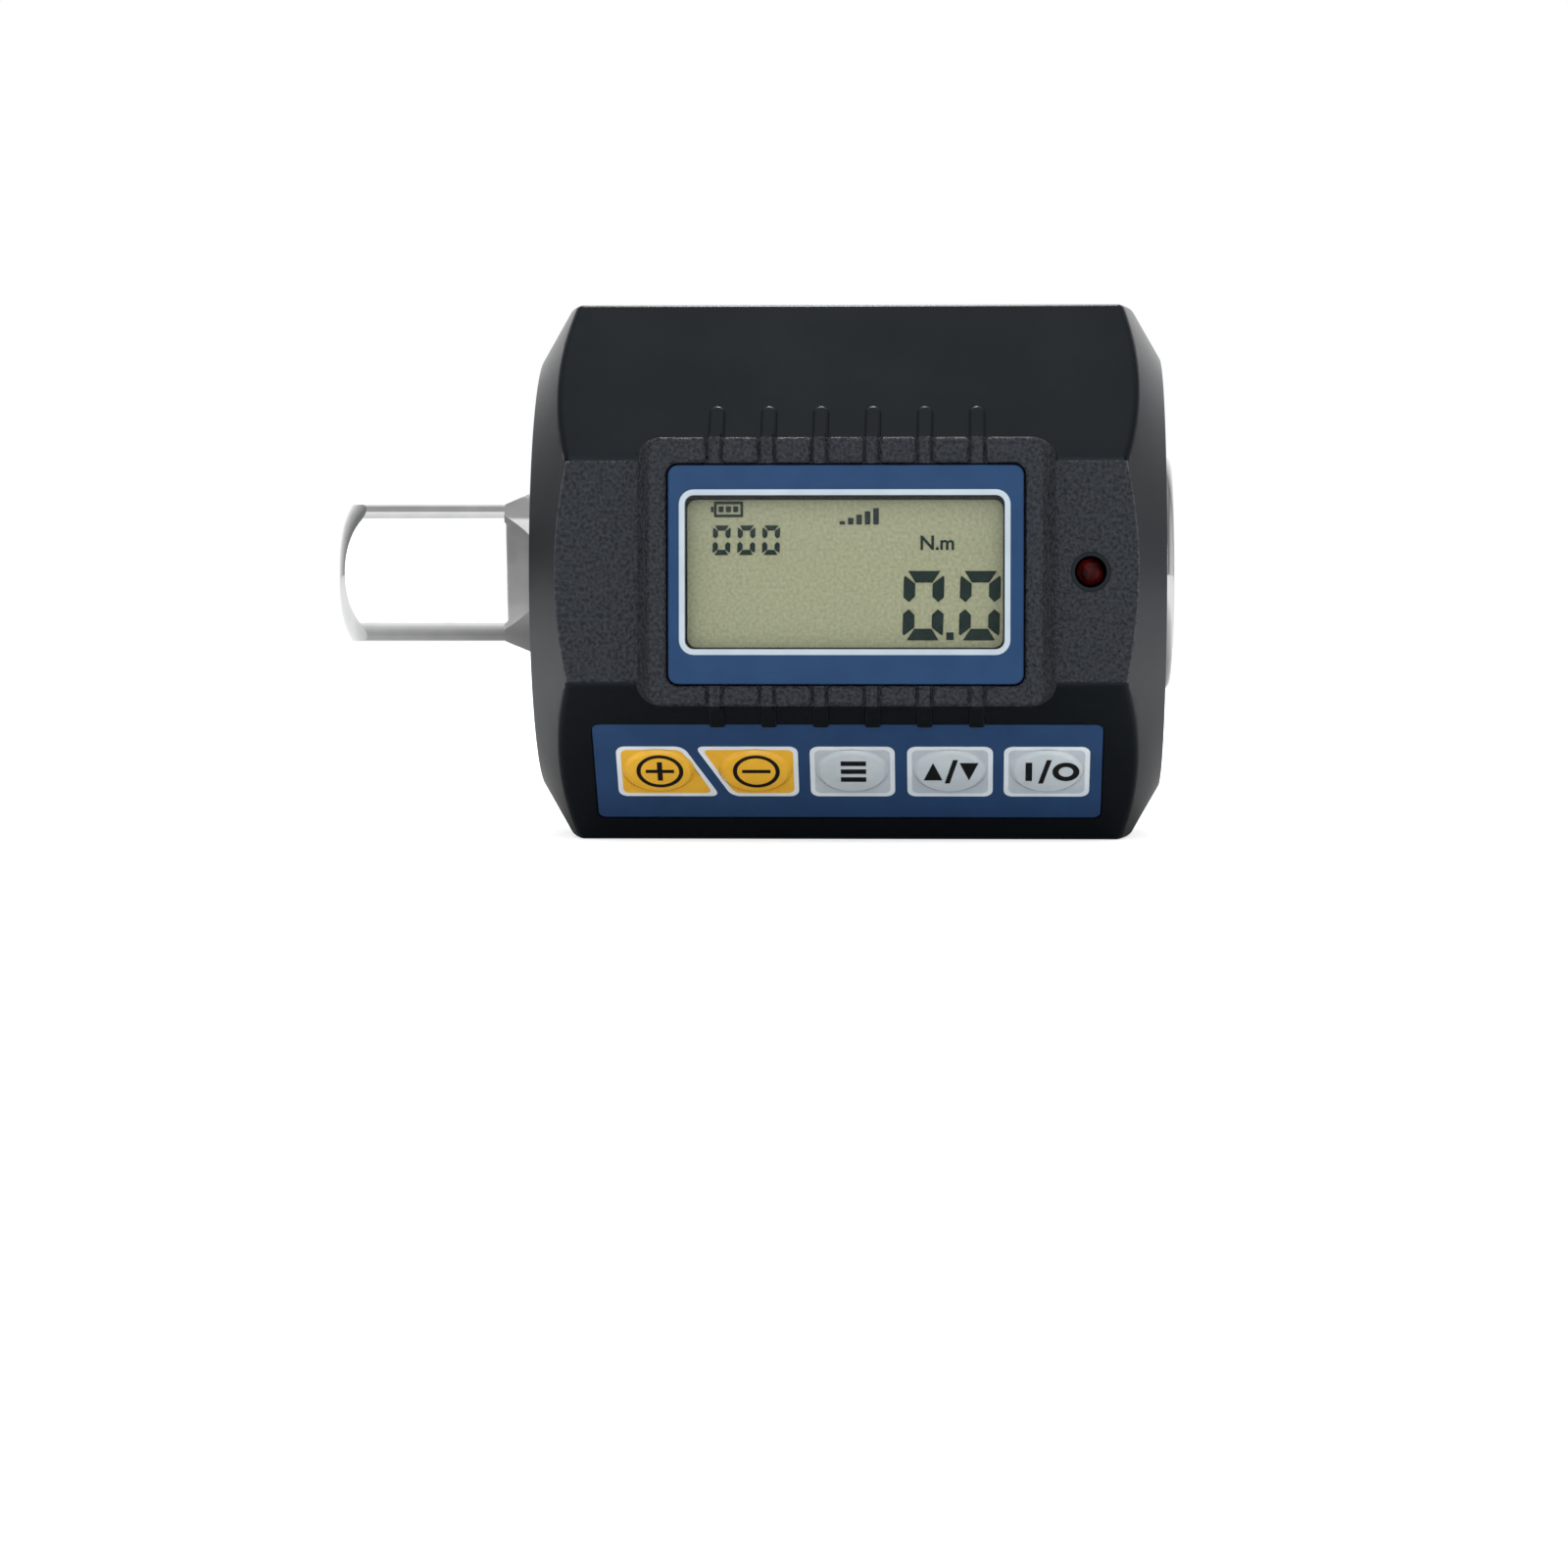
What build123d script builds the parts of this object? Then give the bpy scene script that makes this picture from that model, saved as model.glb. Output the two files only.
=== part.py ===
from build123d import *
import os
from math import radians, sqrt, tan

# Digital torque adapter, in millimetres. The drive axis is X, the display faces -Y and +Z is up.
# The origin is on the drive axis, at the mouth of the female square. The male square points to -X.

# Square drives, nominal 1/2 inch
MALE_FLATS = 12.7
MALE_LENGTH = 15.7
MALE_CORNER_RADIUS = 8.26
MALE_EDGE_ROUND = 1.7
NOSE_FLAT_RADIUS = 3.4
NOSE_ARC_RADIUS = 5.6
RAMP_SLOPE = 25.0
NECK_LENGTH = 3.5
FEMALE_FLATS = 12.85
FEMALE_DEPTH = 16.5
FEMALE_LEAD = 0.6
FEMALE_DIMPLE_DIAMETER = 5.0
FEMALE_DIMPLE_DEPTH = 0.9
DETENT_FROM_TIP = 7.9

# Shaft inside the casing
HUB_RADIUS = 11.0
HUB_PROUD = 1.1
HUB_RIM_ROUND = 0.9
HUB_LENGTH = 22.0
GAUGE_RADIUS = 7.0
GAUGE_FLAT_DEPTH = 0.7
GAUGE_FLAT_LENGTH = 11.0
COLLAR_RADIUS = 10.0
COLLAR_WIDTH = 2.4
SHOULDER_ROUND = 2.0
GROOVE_RADIUS = 9.0
GROOVE_FLATS = 16.8
GROOVE_WIDTH = 2.0
GROOVE_FROM_HUB_ROOT = 2.2

# Detent
BALL_RADIUS = 2.38
BALL_PROUD = 0.9
BALL_CLEARANCE = 0.07
LIP_DEPTH = 0.75
DETENT_SPRING_RADIUS = 1.9
DETENT_SPRING_WIRE = 0.4
DETENT_SPRING_SPACE = 4.0
DETENT_SPRING_TURNS = 3

# Casing
CASE_FLATS = 49.0
CASE_LENGTH = 57.3
END_FACE_RADIUS = 20.0
BEVEL_ANGLE = 30.0
WALL = 2.2
EDGE_ROUND = 0.8

# Display frame and side fields
FRAME_WIDTH = 34.8
FRAME_HEIGHT = 23.8
FRAME_RISE = 2.0
FRAME_SIDE_DRAFT = 1.35
FRAME_CORNER = 1.1
FRAME_FOOT_CORNER = 2.2
FRAME_EDGE_ROUND = 0.4
FIELD_RISE = 0.3
FIELD_HEIGHT = 19.7
FIELD_EDGE_ROUND = 0.25

# Ribs over the frame's upper and lower edge
RIB_COUNT = 6
RIB_PITCH = 4.65
RIB_WIDTH = 1.45
RIB_BAR_WIDTH = 0.95
RIB_RISE = 0.35
RIB_REACH = 14.7
RIB_ROUND = 0.3
RIB_BAR_SINK = 0.3
NOTCH_DEPTH = 0.6
NOTCH_CORNER = 0.45

# Lens and display stack, set in from the frame's outline
FRAME_SIDE_RIM = 1.65
FRAME_LONG_RIM = 2.2
LENS_WIDTH = FRAME_WIDTH - 2 * FRAME_SIDE_RIM
LENS_HEIGHT = FRAME_HEIGHT - 2 * FRAME_LONG_RIM
LENS_DROP = 0.26
LENS_CORNER = 0.9
LENS_THICKNESS = 1.5
LENS_SINK = 0.2
LENS_GAP = 0.15
LENS_SIDE_BORDER = 1.15
LENS_LONG_BORDER = 2.5
WINDOW_WIDTH = LENS_WIDTH - 2 * LENS_SIDE_BORDER
WINDOW_HEIGHT = LENS_HEIGHT - 2 * LENS_LONG_BORDER
LEDGE_THICKNESS = 0.8
LCD_SIDE_LAP = 1.6
LCD_LONG_LAP = 2.1
LCD_WIDTH = WINDOW_WIDTH + 2 * LCD_SIDE_LAP
LCD_HEIGHT = WINDOW_HEIGHT + 2 * LCD_LONG_LAP
LCD_THICKNESS = 2.6
LCD_GAP = 0.15
DIFFUSER_SIDE_INSET = 1.2
DIFFUSER_LONG_INSET = 2.5
DIFFUSER_WIDTH = LCD_WIDTH - 2 * DIFFUSER_SIDE_INSET
DIFFUSER_HEIGHT = LCD_HEIGHT - 2 * DIFFUSER_LONG_INSET
DIFFUSER_THICKNESS = 2.0
STRIP_HEIGHT = 1.6

# Main board
BOARD_END_GAP = 5.15
BOARD_LENGTH = CASE_LENGTH - 2 * BOARD_END_GAP
BOARD_HEIGHT = 21.0
BOARD_THICKNESS = 1.2
BOARD_HOLE_INSET = 3.3
BOARD_HOLE_X = BOARD_LENGTH / 2 - BOARD_HOLE_INSET
BOARD_HOLE_Z = 8.2
BOARD_POST_RADIUS = 2.2
BOARD_SCREW_RADIUS = 0.9
BOARD_SCREW_LENGTH = 3.2
SCREW_HEAD_RADIUS = 1.7
SCREW_HEAD_HEIGHT = 1.0
CONTROLLER_SIDE = 7.0
CONTROLLER_HEIGHT = 1.4
CONTROLLER_X = 9.0
AMPLIFIER_LENGTH = 5.0
AMPLIFIER_WIDTH = 4.4
AMPLIFIER_HEIGHT = 1.5
AMPLIFIER_X = 1.0
AMPLIFIER_Z = 6.0
BUZZER_RADIUS = 4.5
BUZZER_HEIGHT = 3.2
BUZZER_FROM_HOLE = 6.2
BUZZER_X = BUZZER_FROM_HOLE - BOARD_HOLE_X
BUZZER_Z = 4.5
CONNECTOR_LENGTH = 5.0
CONNECTOR_WIDTH = 3.0
CONNECTOR_HEIGHT = 1.6

# Alarm lamp
LAMP_FROM_END = 6.95
LAMP_X = CASE_LENGTH / 2 - LAMP_FROM_END
LAMP_RADIUS = 1.3
LAMP_FLANGE_RADIUS = 1.75
LAMP_FLANGE_HEIGHT = 1.0
LAMP_CLEARANCE = 0.12
LAMP_SINK = 0.1
LAMP_RING_RADIUS = 1.8
LAMP_RING_DEPTH = 0.4

# Keypad on the lower slanted face
OVERLAY_END_GAP = 5.7
OVERLAY_LENGTH = CASE_LENGTH - 2 * OVERLAY_END_GAP
OVERLAY_WIDTH = 12.3
OVERLAY_DROP = 1.1
OVERLAY_THICKNESS = 0.5
OVERLAY_SINK = 0.1
OVERLAY_GAP = 0.12
OVERLAY_CORNER = 0.7
KEY_NAMES = ("key_plus", "key_minus", "key_menu", "key_units", "key_power")
KEY_ROW_MARGIN = 0.95
KEY_PITCH = (OVERLAY_LENGTH - 2 * KEY_ROW_MARGIN) / len(KEY_NAMES)
KEY_ROW_CENTRE = 0.4
KEY_ROW_DROP = 0.95
KEY_SPACING = 2.2
KEY_LENGTH = KEY_PITCH - KEY_SPACING
KEY_WIDTH = 5.6
KEY_PROUD = 0.35
KEY_SHOULDER_RISE = 0.3
KEY_SHOULDER_RUN = 0.35
KEY_CLEARANCE = 0.08
KEY_FLANGE_REACH = 0.7
KEY_FLANGE_THICKNESS = 0.5
KEY_REST_GAP = 0.05
KEY_TRAVEL = 0.4
DOME_GAP = 0.05
DOME_RADIUS = 2.4
DOME_HEIGHT = 0.3
KEYPAD_BOARD_INSET = 0.45
KEYPAD_BOARD_LENGTH = OVERLAY_LENGTH - 2 * KEYPAD_BOARD_INSET
KEYPAD_BOARD_WIDTH = 10.2
KEYPAD_BOARD_THICKNESS = 1.0
KEYPAD_POST_RADIUS = 1.2
KEYPAD_POST_SPREAD = 3.9
KEYPAD_POST_PITCHES = 1.5
KEYPAD_SCREW_RADIUS = 0.7
KEYPAD_SCREW_LENGTH = 2.2
CABLE_WIDTH = 8.0
CABLE_THICKNESS = 0.3
CABLE_FROM_POST = 0.6
KEYPAD_POST_X = KEY_ROW_CENTRE - KEYPAD_POST_PITCHES * KEY_PITCH
CABLE_X = KEYPAD_POST_X + KEYPAD_POST_RADIUS + CABLE_FROM_POST + CABLE_WIDTH / 2
CABLE_LAP = 1.6
CABLE_BOW = 1.5

# Bushes
MALE_BUSH_RADIUS = 10.6
FEMALE_BUSH_RADIUS = 13.2
BUSH_LENGTH = 2.9
BUSH_CLEARANCE = 0.04
BUSH_RING_WALL = 1.6
END_LIP = 0.55
END_BORE_GAP = 0.3

# Shell screws
BOSS_FROM_END = 8.15
BOSS_FROM_WALL = 4.1
BOSS_RADIUS = 2.7
HEAD_BOSS_RADIUS = 3.4
BOSS_REACH = 8.0
SHELL_SCREW_RADIUS = 1.2
SHELL_SCREW_HEAD_RADIUS = 2.2
SHELL_SCREW_HEAD_HEIGHT = 1.6
SHELL_SCREW_SEAT = 6.0
SHELL_SCREW_LENGTH = 12.5
SCREW_CLEARANCE = 0.2

# Saddle that holds the shaft's groove
SADDLE_REACH = 9.3
SADDLE_GAP = 0.05

# Cells and their tray. Two cells lie side by side between the slanted faces, and fill the tray.
DOOR_PLATE = 1.6
DOOR_SEAM = 0.75
TRAY_HALF_WIDTH = CASE_FLATS / 2 * (sqrt(2) - 1) + DOOR_PLATE - DOOR_SEAM
TRAY_SIDE_GAP = 0.3
CELL_GAP = 0.4
CELL_RADIUS = (TRAY_HALF_WIDTH - TRAY_SIDE_GAP - CELL_GAP / 2) / 2
CELL_END_ROOM = 6.4
CELL_LENGTH = CASE_LENGTH - 2 * CELL_END_ROOM
CELL_NUB_RADIUS = 1.9
CELL_NUB_LENGTH = 0.8
CELL_TO_DOOR = 0.25
CONTACT_SPRING_ROOM = 1.5
TRAY_WALL = 1.2
TRAY_FLOOR = 1.2
TRAY_FLOOR_GAP = 0.05
HUB_CLEARANCE = 0.3
CONTACT_THICKNESS = 0.4
TRAY_LENGTH = CELL_LENGTH + CONTACT_SPRING_ROOM + 2 * CONTACT_THICKNESS
CONTACT_WIDTH = 7.0
CONTACT_HEIGHT = 7.0
LEAF_FOLD = 0.6
LEAD_RADIUS = 0.5
LEAD_BEND = 2.0
LEAD_SPREAD = 12.6
LEAD_END = 2.2

# Battery door
DOOR_LEG = 1.2
DOOR_RAIL_REACH = 0.8
DOOR_RAIL_HEIGHT = 1.0
DOOR_RAIL_SKIN = 1.25
DOOR_GAP = 0.15
DOOR_BEYOND_TRAY = 0.5
RAIL_WALL = 2.2
GRIP_COUNT = 5
GRIP_PITCH = 1.6
GRIP_WIDTH = 0.8
GRIP_DEPTH = 0.4
GRIP_LENGTH = 12.0

# Gauge flex
GAUGE_SIDE = 5.4
GAUGE_THICKNESS = 0.15
FLEX_WIDTH = 4.0
FLEX_THICKNESS = 0.2
FLEX_GAP = 0.1

# Stations along the drive axis
CASE_RIGHT = -HUB_PROUD
CASE_LEFT = CASE_RIGHT - CASE_LENGTH
MID = (CASE_LEFT + CASE_RIGHT) / 2
MALE_ROOT = CASE_LEFT - NECK_LENGTH
TIP = MALE_ROOT - MALE_LENGTH
HUB_ROOT = -HUB_LENGTH
GROOVE_LEFT = HUB_ROOT + GROOVE_FROM_HUB_ROOT
COLLAR_LEFT = CASE_LEFT + END_LIP + BUSH_LENGTH + SADDLE_GAP

# Levels towards the viewer, as distances from the drive axis
FLAT = CASE_FLATS / 2
INNER_FLAT = FLAT - WALL
FRAME_FACE = FLAT + FRAME_RISE
LENS_FACE = FRAME_FACE - LENS_SINK
LENS_BACK = LENS_FACE - LENS_THICKNESS
LCD_FACE = LENS_BACK - LEDGE_THICKNESS
LCD_BACK = LCD_FACE - LCD_THICKNESS
BOARD_FACE = LCD_BACK - DIFFUSER_THICKNESS
BOARD_BACK = BOARD_FACE - BOARD_THICKNESS

# Levels of the keypad, as distances from the drive axis along the slanted face's normal
OVERLAY_FACE = FLAT - OVERLAY_SINK
OVERLAY_BACK = OVERLAY_FACE - OVERLAY_THICKNESS
FLANGE_TOP = INNER_FLAT - KEY_REST_GAP
FLANGE_BOTTOM = FLANGE_TOP - KEY_FLANGE_THICKNESS
KEYPAD_BOARD_TOP = FLANGE_BOTTOM - KEY_TRAVEL - DOME_GAP - DOME_HEIGHT
KEYPAD_BOARD_BOTTOM = KEYPAD_BOARD_TOP - KEYPAD_BOARD_THICKNESS

# Levels behind the axis. The cells lie against the door, whose rails run close under the slanted faces.
CELL_DEPTH = FLAT - DOOR_PLATE - CELL_TO_DOOR - CELL_RADIUS
CELL_Z = CELL_RADIUS + CELL_GAP / 2
TRAY_TOP = CELL_DEPTH - CELL_RADIUS - TRAY_FLOOR_GAP
TRAY_LEFT = MID - TRAY_LENGTH / 2
TRAY_RIGHT = MID + TRAY_LENGTH / 2
DOOR_HALF_WIDTH = TRAY_HALF_WIDTH + DOOR_LEG
DOOR_EDGE = FLAT * sqrt(2) - DOOR_HALF_WIDTH - DOOR_RAIL_REACH
DOOR_RAIL_DEPTH = DOOR_EDGE - DOOR_RAIL_SKIN - DOOR_RAIL_HEIGHT
DOOR_STOP = TRAY_LENGTH / 2 + DOOR_BEYOND_TRAY
BOSS_X = CASE_LENGTH / 2 - BOSS_FROM_END
BOSS_Z = INNER_FLAT - BOSS_FROM_WALL

# The slanted faces below and above the display; their local Y runs up towards the display.
LOWER_FACE = Plane(origin=(MID, 0, 0), x_dir=(1, 0, 0), z_dir=(0, -1, -1))
UPPER_FACE = Plane(origin=(MID, 0, 0), x_dir=(-1, 0, 0), z_dir=(0, -1, 1))


def block(x0, x1, y0, y1, z0, z1):
    """A box between two corners."""
    centre = Pos((x0 + x1) / 2, (y0 + y1) / 2, (z0 + z1) / 2)
    return centre * Box(abs(x1 - x0), abs(y1 - y0), abs(z1 - z0))


def rod_x(radius, x0, x1, y=0, z=0):
    """A round bar along the drive axis."""
    return Pos((x0 + x1) / 2, y, z) * Rot(0, 90, 0) * Cylinder(radius, abs(x1 - x0))


def rod_y(radius, y0, y1, x=0, z=0):
    """A round bar along Y."""
    return Pos(x, (y0 + y1) / 2, z) * Rot(90, 0, 0) * Cylinder(radius, abs(y1 - y0))


def slanted_rod(radius, level0, level1, x, drop):
    """A round bar along the lower slanted face's normal."""
    centre = LOWER_FACE * Pos(x, -drop, (level0 + level1) / 2)
    return centre * Cylinder(radius, abs(level1 - level0))


def slanted_plate(sketch, level0, level1, face=LOWER_FACE):
    """A plate on a slanted face, between two levels above the drive axis."""
    return face * Pos(0, 0, level0) * extrude(sketch, amount=level1 - level0)


def facing_plate(sketch, level0, level1, z=0):
    """A plate parallel to the display, between two levels in front of the drive axis."""
    front = Plane(origin=(MID, -level0, z), x_dir=(1, 0, 0), z_dir=(0, -1, 0))
    return front * extrude(sketch, amount=level1 - level0)


def turned(points):
    """A turned solid from (station, radius) points, closed along the drive axis."""
    outline = Polyline(*[(x, r, 0) for x, r in points], close=True)
    return revolve(make_face(outline), axis=Axis.X)


def side_profile(points, half_width, x=0):
    """A solid with a side outline of (y, z) points, centred on a station."""
    outline = Polyline(*[(x - half_width, y, z) for y, z in points], close=True)
    return extrude(make_face(outline), amount=2 * half_width, dir=(1, 0, 0))


def octagon_bar(flats):
    """An octagonal bar of the casing's length, with a flat towards the viewer."""
    outline = RegularPolygon(flats / 2, 8, major_radius=False, rotation=22.5)
    return Plane(origin=(CASE_LEFT, 0, 0), x_dir=(0, 1, 0), z_dir=(1, 0, 0)) * extrude(outline, CASE_LENGTH)


def bevelled_ends(inset):
    """The turned envelope of the casing, set in from the surface by an even wall."""
    slope = tan(radians(BEVEL_ANGLE))
    face_radius = END_FACE_RADIUS - inset * tan(radians(BEVEL_ANGLE / 2))
    outside = CASE_FLATS
    run = (outside - face_radius) * slope
    left = CASE_LEFT + inset
    right = CASE_RIGHT - inset
    left_side = [(left, 0), (left, face_radius), (left + run, outside)]
    right_side = [(right - run, outside), (right, face_radius), (right, 0)]
    return turned(left_side + right_side)


def casing_envelope():
    """The whole casing as one solid: an octagonal bar with turned bevels, softened along its edges."""
    whole = octagon_bar(CASE_FLATS) & bevelled_ends(0)
    ends = [edge for edge in whole.edges() if edge.geom_type == GeomType.CIRCLE]
    softened = [edge for edge in whole.edges() if edge not in ends]
    return fillet(softened, EDGE_ROUND)


def casing_cavity():
    """The space inside the casing, an even wall inside its surface."""
    return octagon_bar(CASE_FLATS - 2 * WALL) & bevelled_ends(WALL)


ENVELOPE = casing_envelope()
CAVITY = casing_cavity()


def half_space(side):
    """Everything in front of the parting plane, or with side 1 everything behind it."""
    return block(CASE_LEFT, CASE_RIGHT, 0, side * CASE_FLATS, -CASE_FLATS, CASE_FLATS)


def bush_seats():
    """The rings that hold both bushes, as a pair of solid discs."""
    depth = END_LIP + BUSH_LENGTH
    male = rod_x(MALE_BUSH_RADIUS + BUSH_RING_WALL, CASE_LEFT, CASE_LEFT + depth)
    female = rod_x(FEMALE_BUSH_RADIUS + BUSH_RING_WALL, CASE_RIGHT - depth, CASE_RIGHT)
    return male + female


def shaft_way():
    """What the shells leave free at both ends: the bush seats and the holes in the end faces."""
    male_seat = rod_x(MALE_BUSH_RADIUS, CASE_LEFT + END_LIP, CASE_LEFT + 2 * END_LIP + BUSH_LENGTH)
    female_seat = rod_x(FEMALE_BUSH_RADIUS, CASE_RIGHT - 2 * END_LIP - BUSH_LENGTH, CASE_RIGHT - END_LIP)
    male_hole = rod_x(MALE_CORNER_RADIUS + END_BORE_GAP, CASE_LEFT, CASE_LEFT + 2 * END_LIP)
    female_hole = rod_x(HUB_RADIUS + END_BORE_GAP, CASE_RIGHT - 2 * END_LIP, CASE_RIGHT)
    return male_seat + female_seat + male_hole + female_hole


def saddle(side):
    """The rib of one shell that sits in the shaft's groove and stops it turning and sliding."""
    left = GROOVE_LEFT + SADDLE_GAP
    right = GROOVE_LEFT + GROOVE_WIDTH - SADDLE_GAP
    reach = SADDLE_REACH if side < 0 else TRAY_TOP - TRAY_FLOOR / 2
    opening = rod_x(GROOVE_RADIUS + SADDLE_GAP, left, right)
    flats = GROOVE_FLATS / 2 + SADDLE_GAP
    opening &= block(left, right, -HUB_RADIUS, HUB_RADIUS, -flats, flats)
    plate = block(left, right, 0, side * reach, -INNER_FLAT, INNER_FLAT) - opening
    return plate & octagon_bar(CASE_FLATS - WALL)


def boss_places():
    """The four places of the shell screws, as (x, z)."""
    return [(MID + sx * BOSS_X, sz * BOSS_Z) for sx in (-1, 1) for sz in (-1, 1)]


def boss_web(x, z, radius, reach):
    """The web that ties a screw boss to the top or bottom wall."""
    outer = (INNER_FLAT + WALL / 2) * (1 if z > 0 else -1)
    return block(x - radius, x + radius, 0, reach, z, outer)


def rib_places():
    """The stations of the ribs on each side of the display."""
    return [MID + (i - (RIB_COUNT - 1) / 2) * RIB_PITCH for i in range(RIB_COUNT)]


def lens_recess():
    """The outline of the lens's recess in the frame."""
    outline = RectangleRounded(LENS_WIDTH + 2 * LENS_GAP, LENS_HEIGHT + 2 * LENS_GAP, LENS_CORNER + LENS_GAP)
    return Pos(0, -LENS_DROP) * outline


def notches():
    """The slots across the frame's rim that the ribs run through, with rounded mouths."""
    rim = RectangleRounded(FRAME_WIDTH, FRAME_HEIGHT, FRAME_CORNER) - lens_recess()
    pads = rim
    for x in rib_places():
        pads -= Pos(x - MID, 0) * Rectangle(RIB_WIDTH, 2 * FRAME_HEIGHT)
    corners = []
    for corner in pads.vertices():
        offsets = [abs(abs(corner.X + MID - x) - RIB_WIDTH / 2) for x in rib_places()]
        if min(offsets) < NOTCH_CORNER / 2:
            corners.append(corner)
    thinnest = FRAME_LONG_RIM - LENS_GAP - LENS_DROP
    rounded = fillet(corners, min(NOTCH_CORNER, thinnest / 3))
    return facing_plate(rim - rounded, FRAME_FACE - NOTCH_DEPTH, FRAME_FACE + FRAME_RISE)


def frame_block():
    """The raised block round the display, with its recess, its notches and every upper edge rounded."""
    foot = RectangleRounded(FRAME_WIDTH + 2 * FRAME_SIDE_DRAFT, FRAME_HEIGHT, FRAME_FOOT_CORNER)
    face = RectangleRounded(FRAME_WIDTH, FRAME_HEIGHT, FRAME_CORNER)
    front = Plane(origin=(MID, -FLAT, 0), x_dir=(1, 0, 0), z_dir=(0, -1, 0))
    rising = loft([front * foot, front.offset(FRAME_RISE) * face]) - notches()
    rising -= facing_plate(lens_recess(), LENS_BACK, FRAME_FACE + FRAME_RISE)
    rim = []
    for pad in rising.faces().filter_by(Plane.XZ):
        if abs(pad.center().Y + FRAME_FACE) < FRAME_EDGE_ROUND / 2:
            rim += pad.edges()
    return fillet(rim, FRAME_EDGE_ROUND) + facing_plate(foot, LCD_BACK, FLAT)


def side_field():
    """The slightly raised flat panel that carries the texture on both sides of the display."""
    half = FIELD_HEIGHT / 2
    panel = block(CASE_LEFT, CASE_RIGHT, -FLAT - FIELD_RISE, -INNER_FLAT, -half, half)
    edges = panel.edges().filter_by(Axis.X).sort_by(Axis.Y)[:2]
    panel = fillet(edges, FIELD_EDGE_ROUND)
    inset = EDGE_ROUND / 2
    span = block(CASE_LEFT + inset, CASE_RIGHT - inset, -CASE_FLATS, 0, -half, half)
    return panel & bevelled_ends(0) & span


def rib_on_slope(x, face):
    """A rib on a slanted face, with a round nose and round upper edges."""
    nose = FLAT - RIB_REACH * sqrt(2)
    root = FLAT + RIB_RISE - FRAME_HEIGHT / sqrt(2) + RIB_WIDTH
    outline = Pos(x - MID, (nose + root) / 2) * SlotOverall(root - nose, RIB_WIDTH, rotation=90)
    rib = slanted_plate(outline, INNER_FLAT + WALL / 2, FLAT + RIB_RISE, face)
    outward = Axis((0, 0, 0), face.z_dir)
    return fillet(rib.faces().sort_by(outward)[-1].edges(), RIB_ROUND)


def rib_over_rim(x, side):
    """The thinner bar that carries a rib through its notch to the lens."""
    outer = FRAME_HEIGHT / 2 + RIB_RISE
    inner = LENS_HEIGHT / 2 + LENS_GAP - side * LENS_DROP
    top = FRAME_FACE - RIB_BAR_SINK
    points = [
        (-INNER_FLAT, side * outer),
        (-top + RIB_RISE, side * outer),
        (-top, side * (outer - RIB_RISE)),
        (-top, side * inner),
        (-LENS_BACK, side * inner),
    ]
    return side_profile(points, RIB_BAR_WIDTH / 2, x)


def display_openings():
    """The lens recess, the window in its ledge and the pocket of the LCD behind it."""
    pocket = Rectangle(LCD_WIDTH + 2 * LCD_GAP, LCD_HEIGHT + 2 * LCD_GAP)
    window = RectangleRounded(WINDOW_WIDTH, WINDOW_HEIGHT, LENS_CORNER)
    cut = facing_plate(lens_recess(), LENS_BACK, FRAME_FACE + FRAME_RISE)
    cut += facing_plate(window, LCD_FACE - LEDGE_THICKNESS, LENS_BACK + LEDGE_THICKNESS, -LENS_DROP)
    return cut + facing_plate(pocket, BOARD_FACE, LCD_FACE, -LENS_DROP)


def board_posts():
    """The places of the board's posts, as (x, z)."""
    return [(MID + sx * BOARD_HOLE_X, sz * BOARD_HOLE_Z) for sx in (-1, 1) for sz in (-1, 1)]


def keypad_posts():
    """The places of the keypad board's posts, as (x, drop) on the slanted face."""
    across = [KEY_ROW_CENTRE + side * KEYPAD_POST_PITCHES * KEY_PITCH for side in (-1, 1)]
    return [(x, KEY_ROW_DROP + side * KEYPAD_POST_SPREAD) for x in across for side in (-1, 1)]


def key_places():
    """The middles of the five keys along the slanted face."""
    middle = (len(KEY_NAMES) - 1) / 2
    return [KEY_ROW_CENTRE + (i - middle) * KEY_PITCH for i in range(len(KEY_NAMES))]


def key_oval(x, grow=0.0):
    """A key's oval outline on the slanted face, grown all round by a clearance or a flange."""
    return Pos(x, -KEY_ROW_DROP) * Ellipse(KEY_LENGTH / 2 + grow, KEY_WIDTH / 2 + grow)


def overlay_outline(grow=0.0):
    """The keypad overlay's outline on the slanted face."""
    return Pos(0, -OVERLAY_DROP) * RectangleRounded(
        OVERLAY_LENGTH + 2 * grow, OVERLAY_WIDTH + 2 * grow, OVERLAY_CORNER + grow
    )


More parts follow.
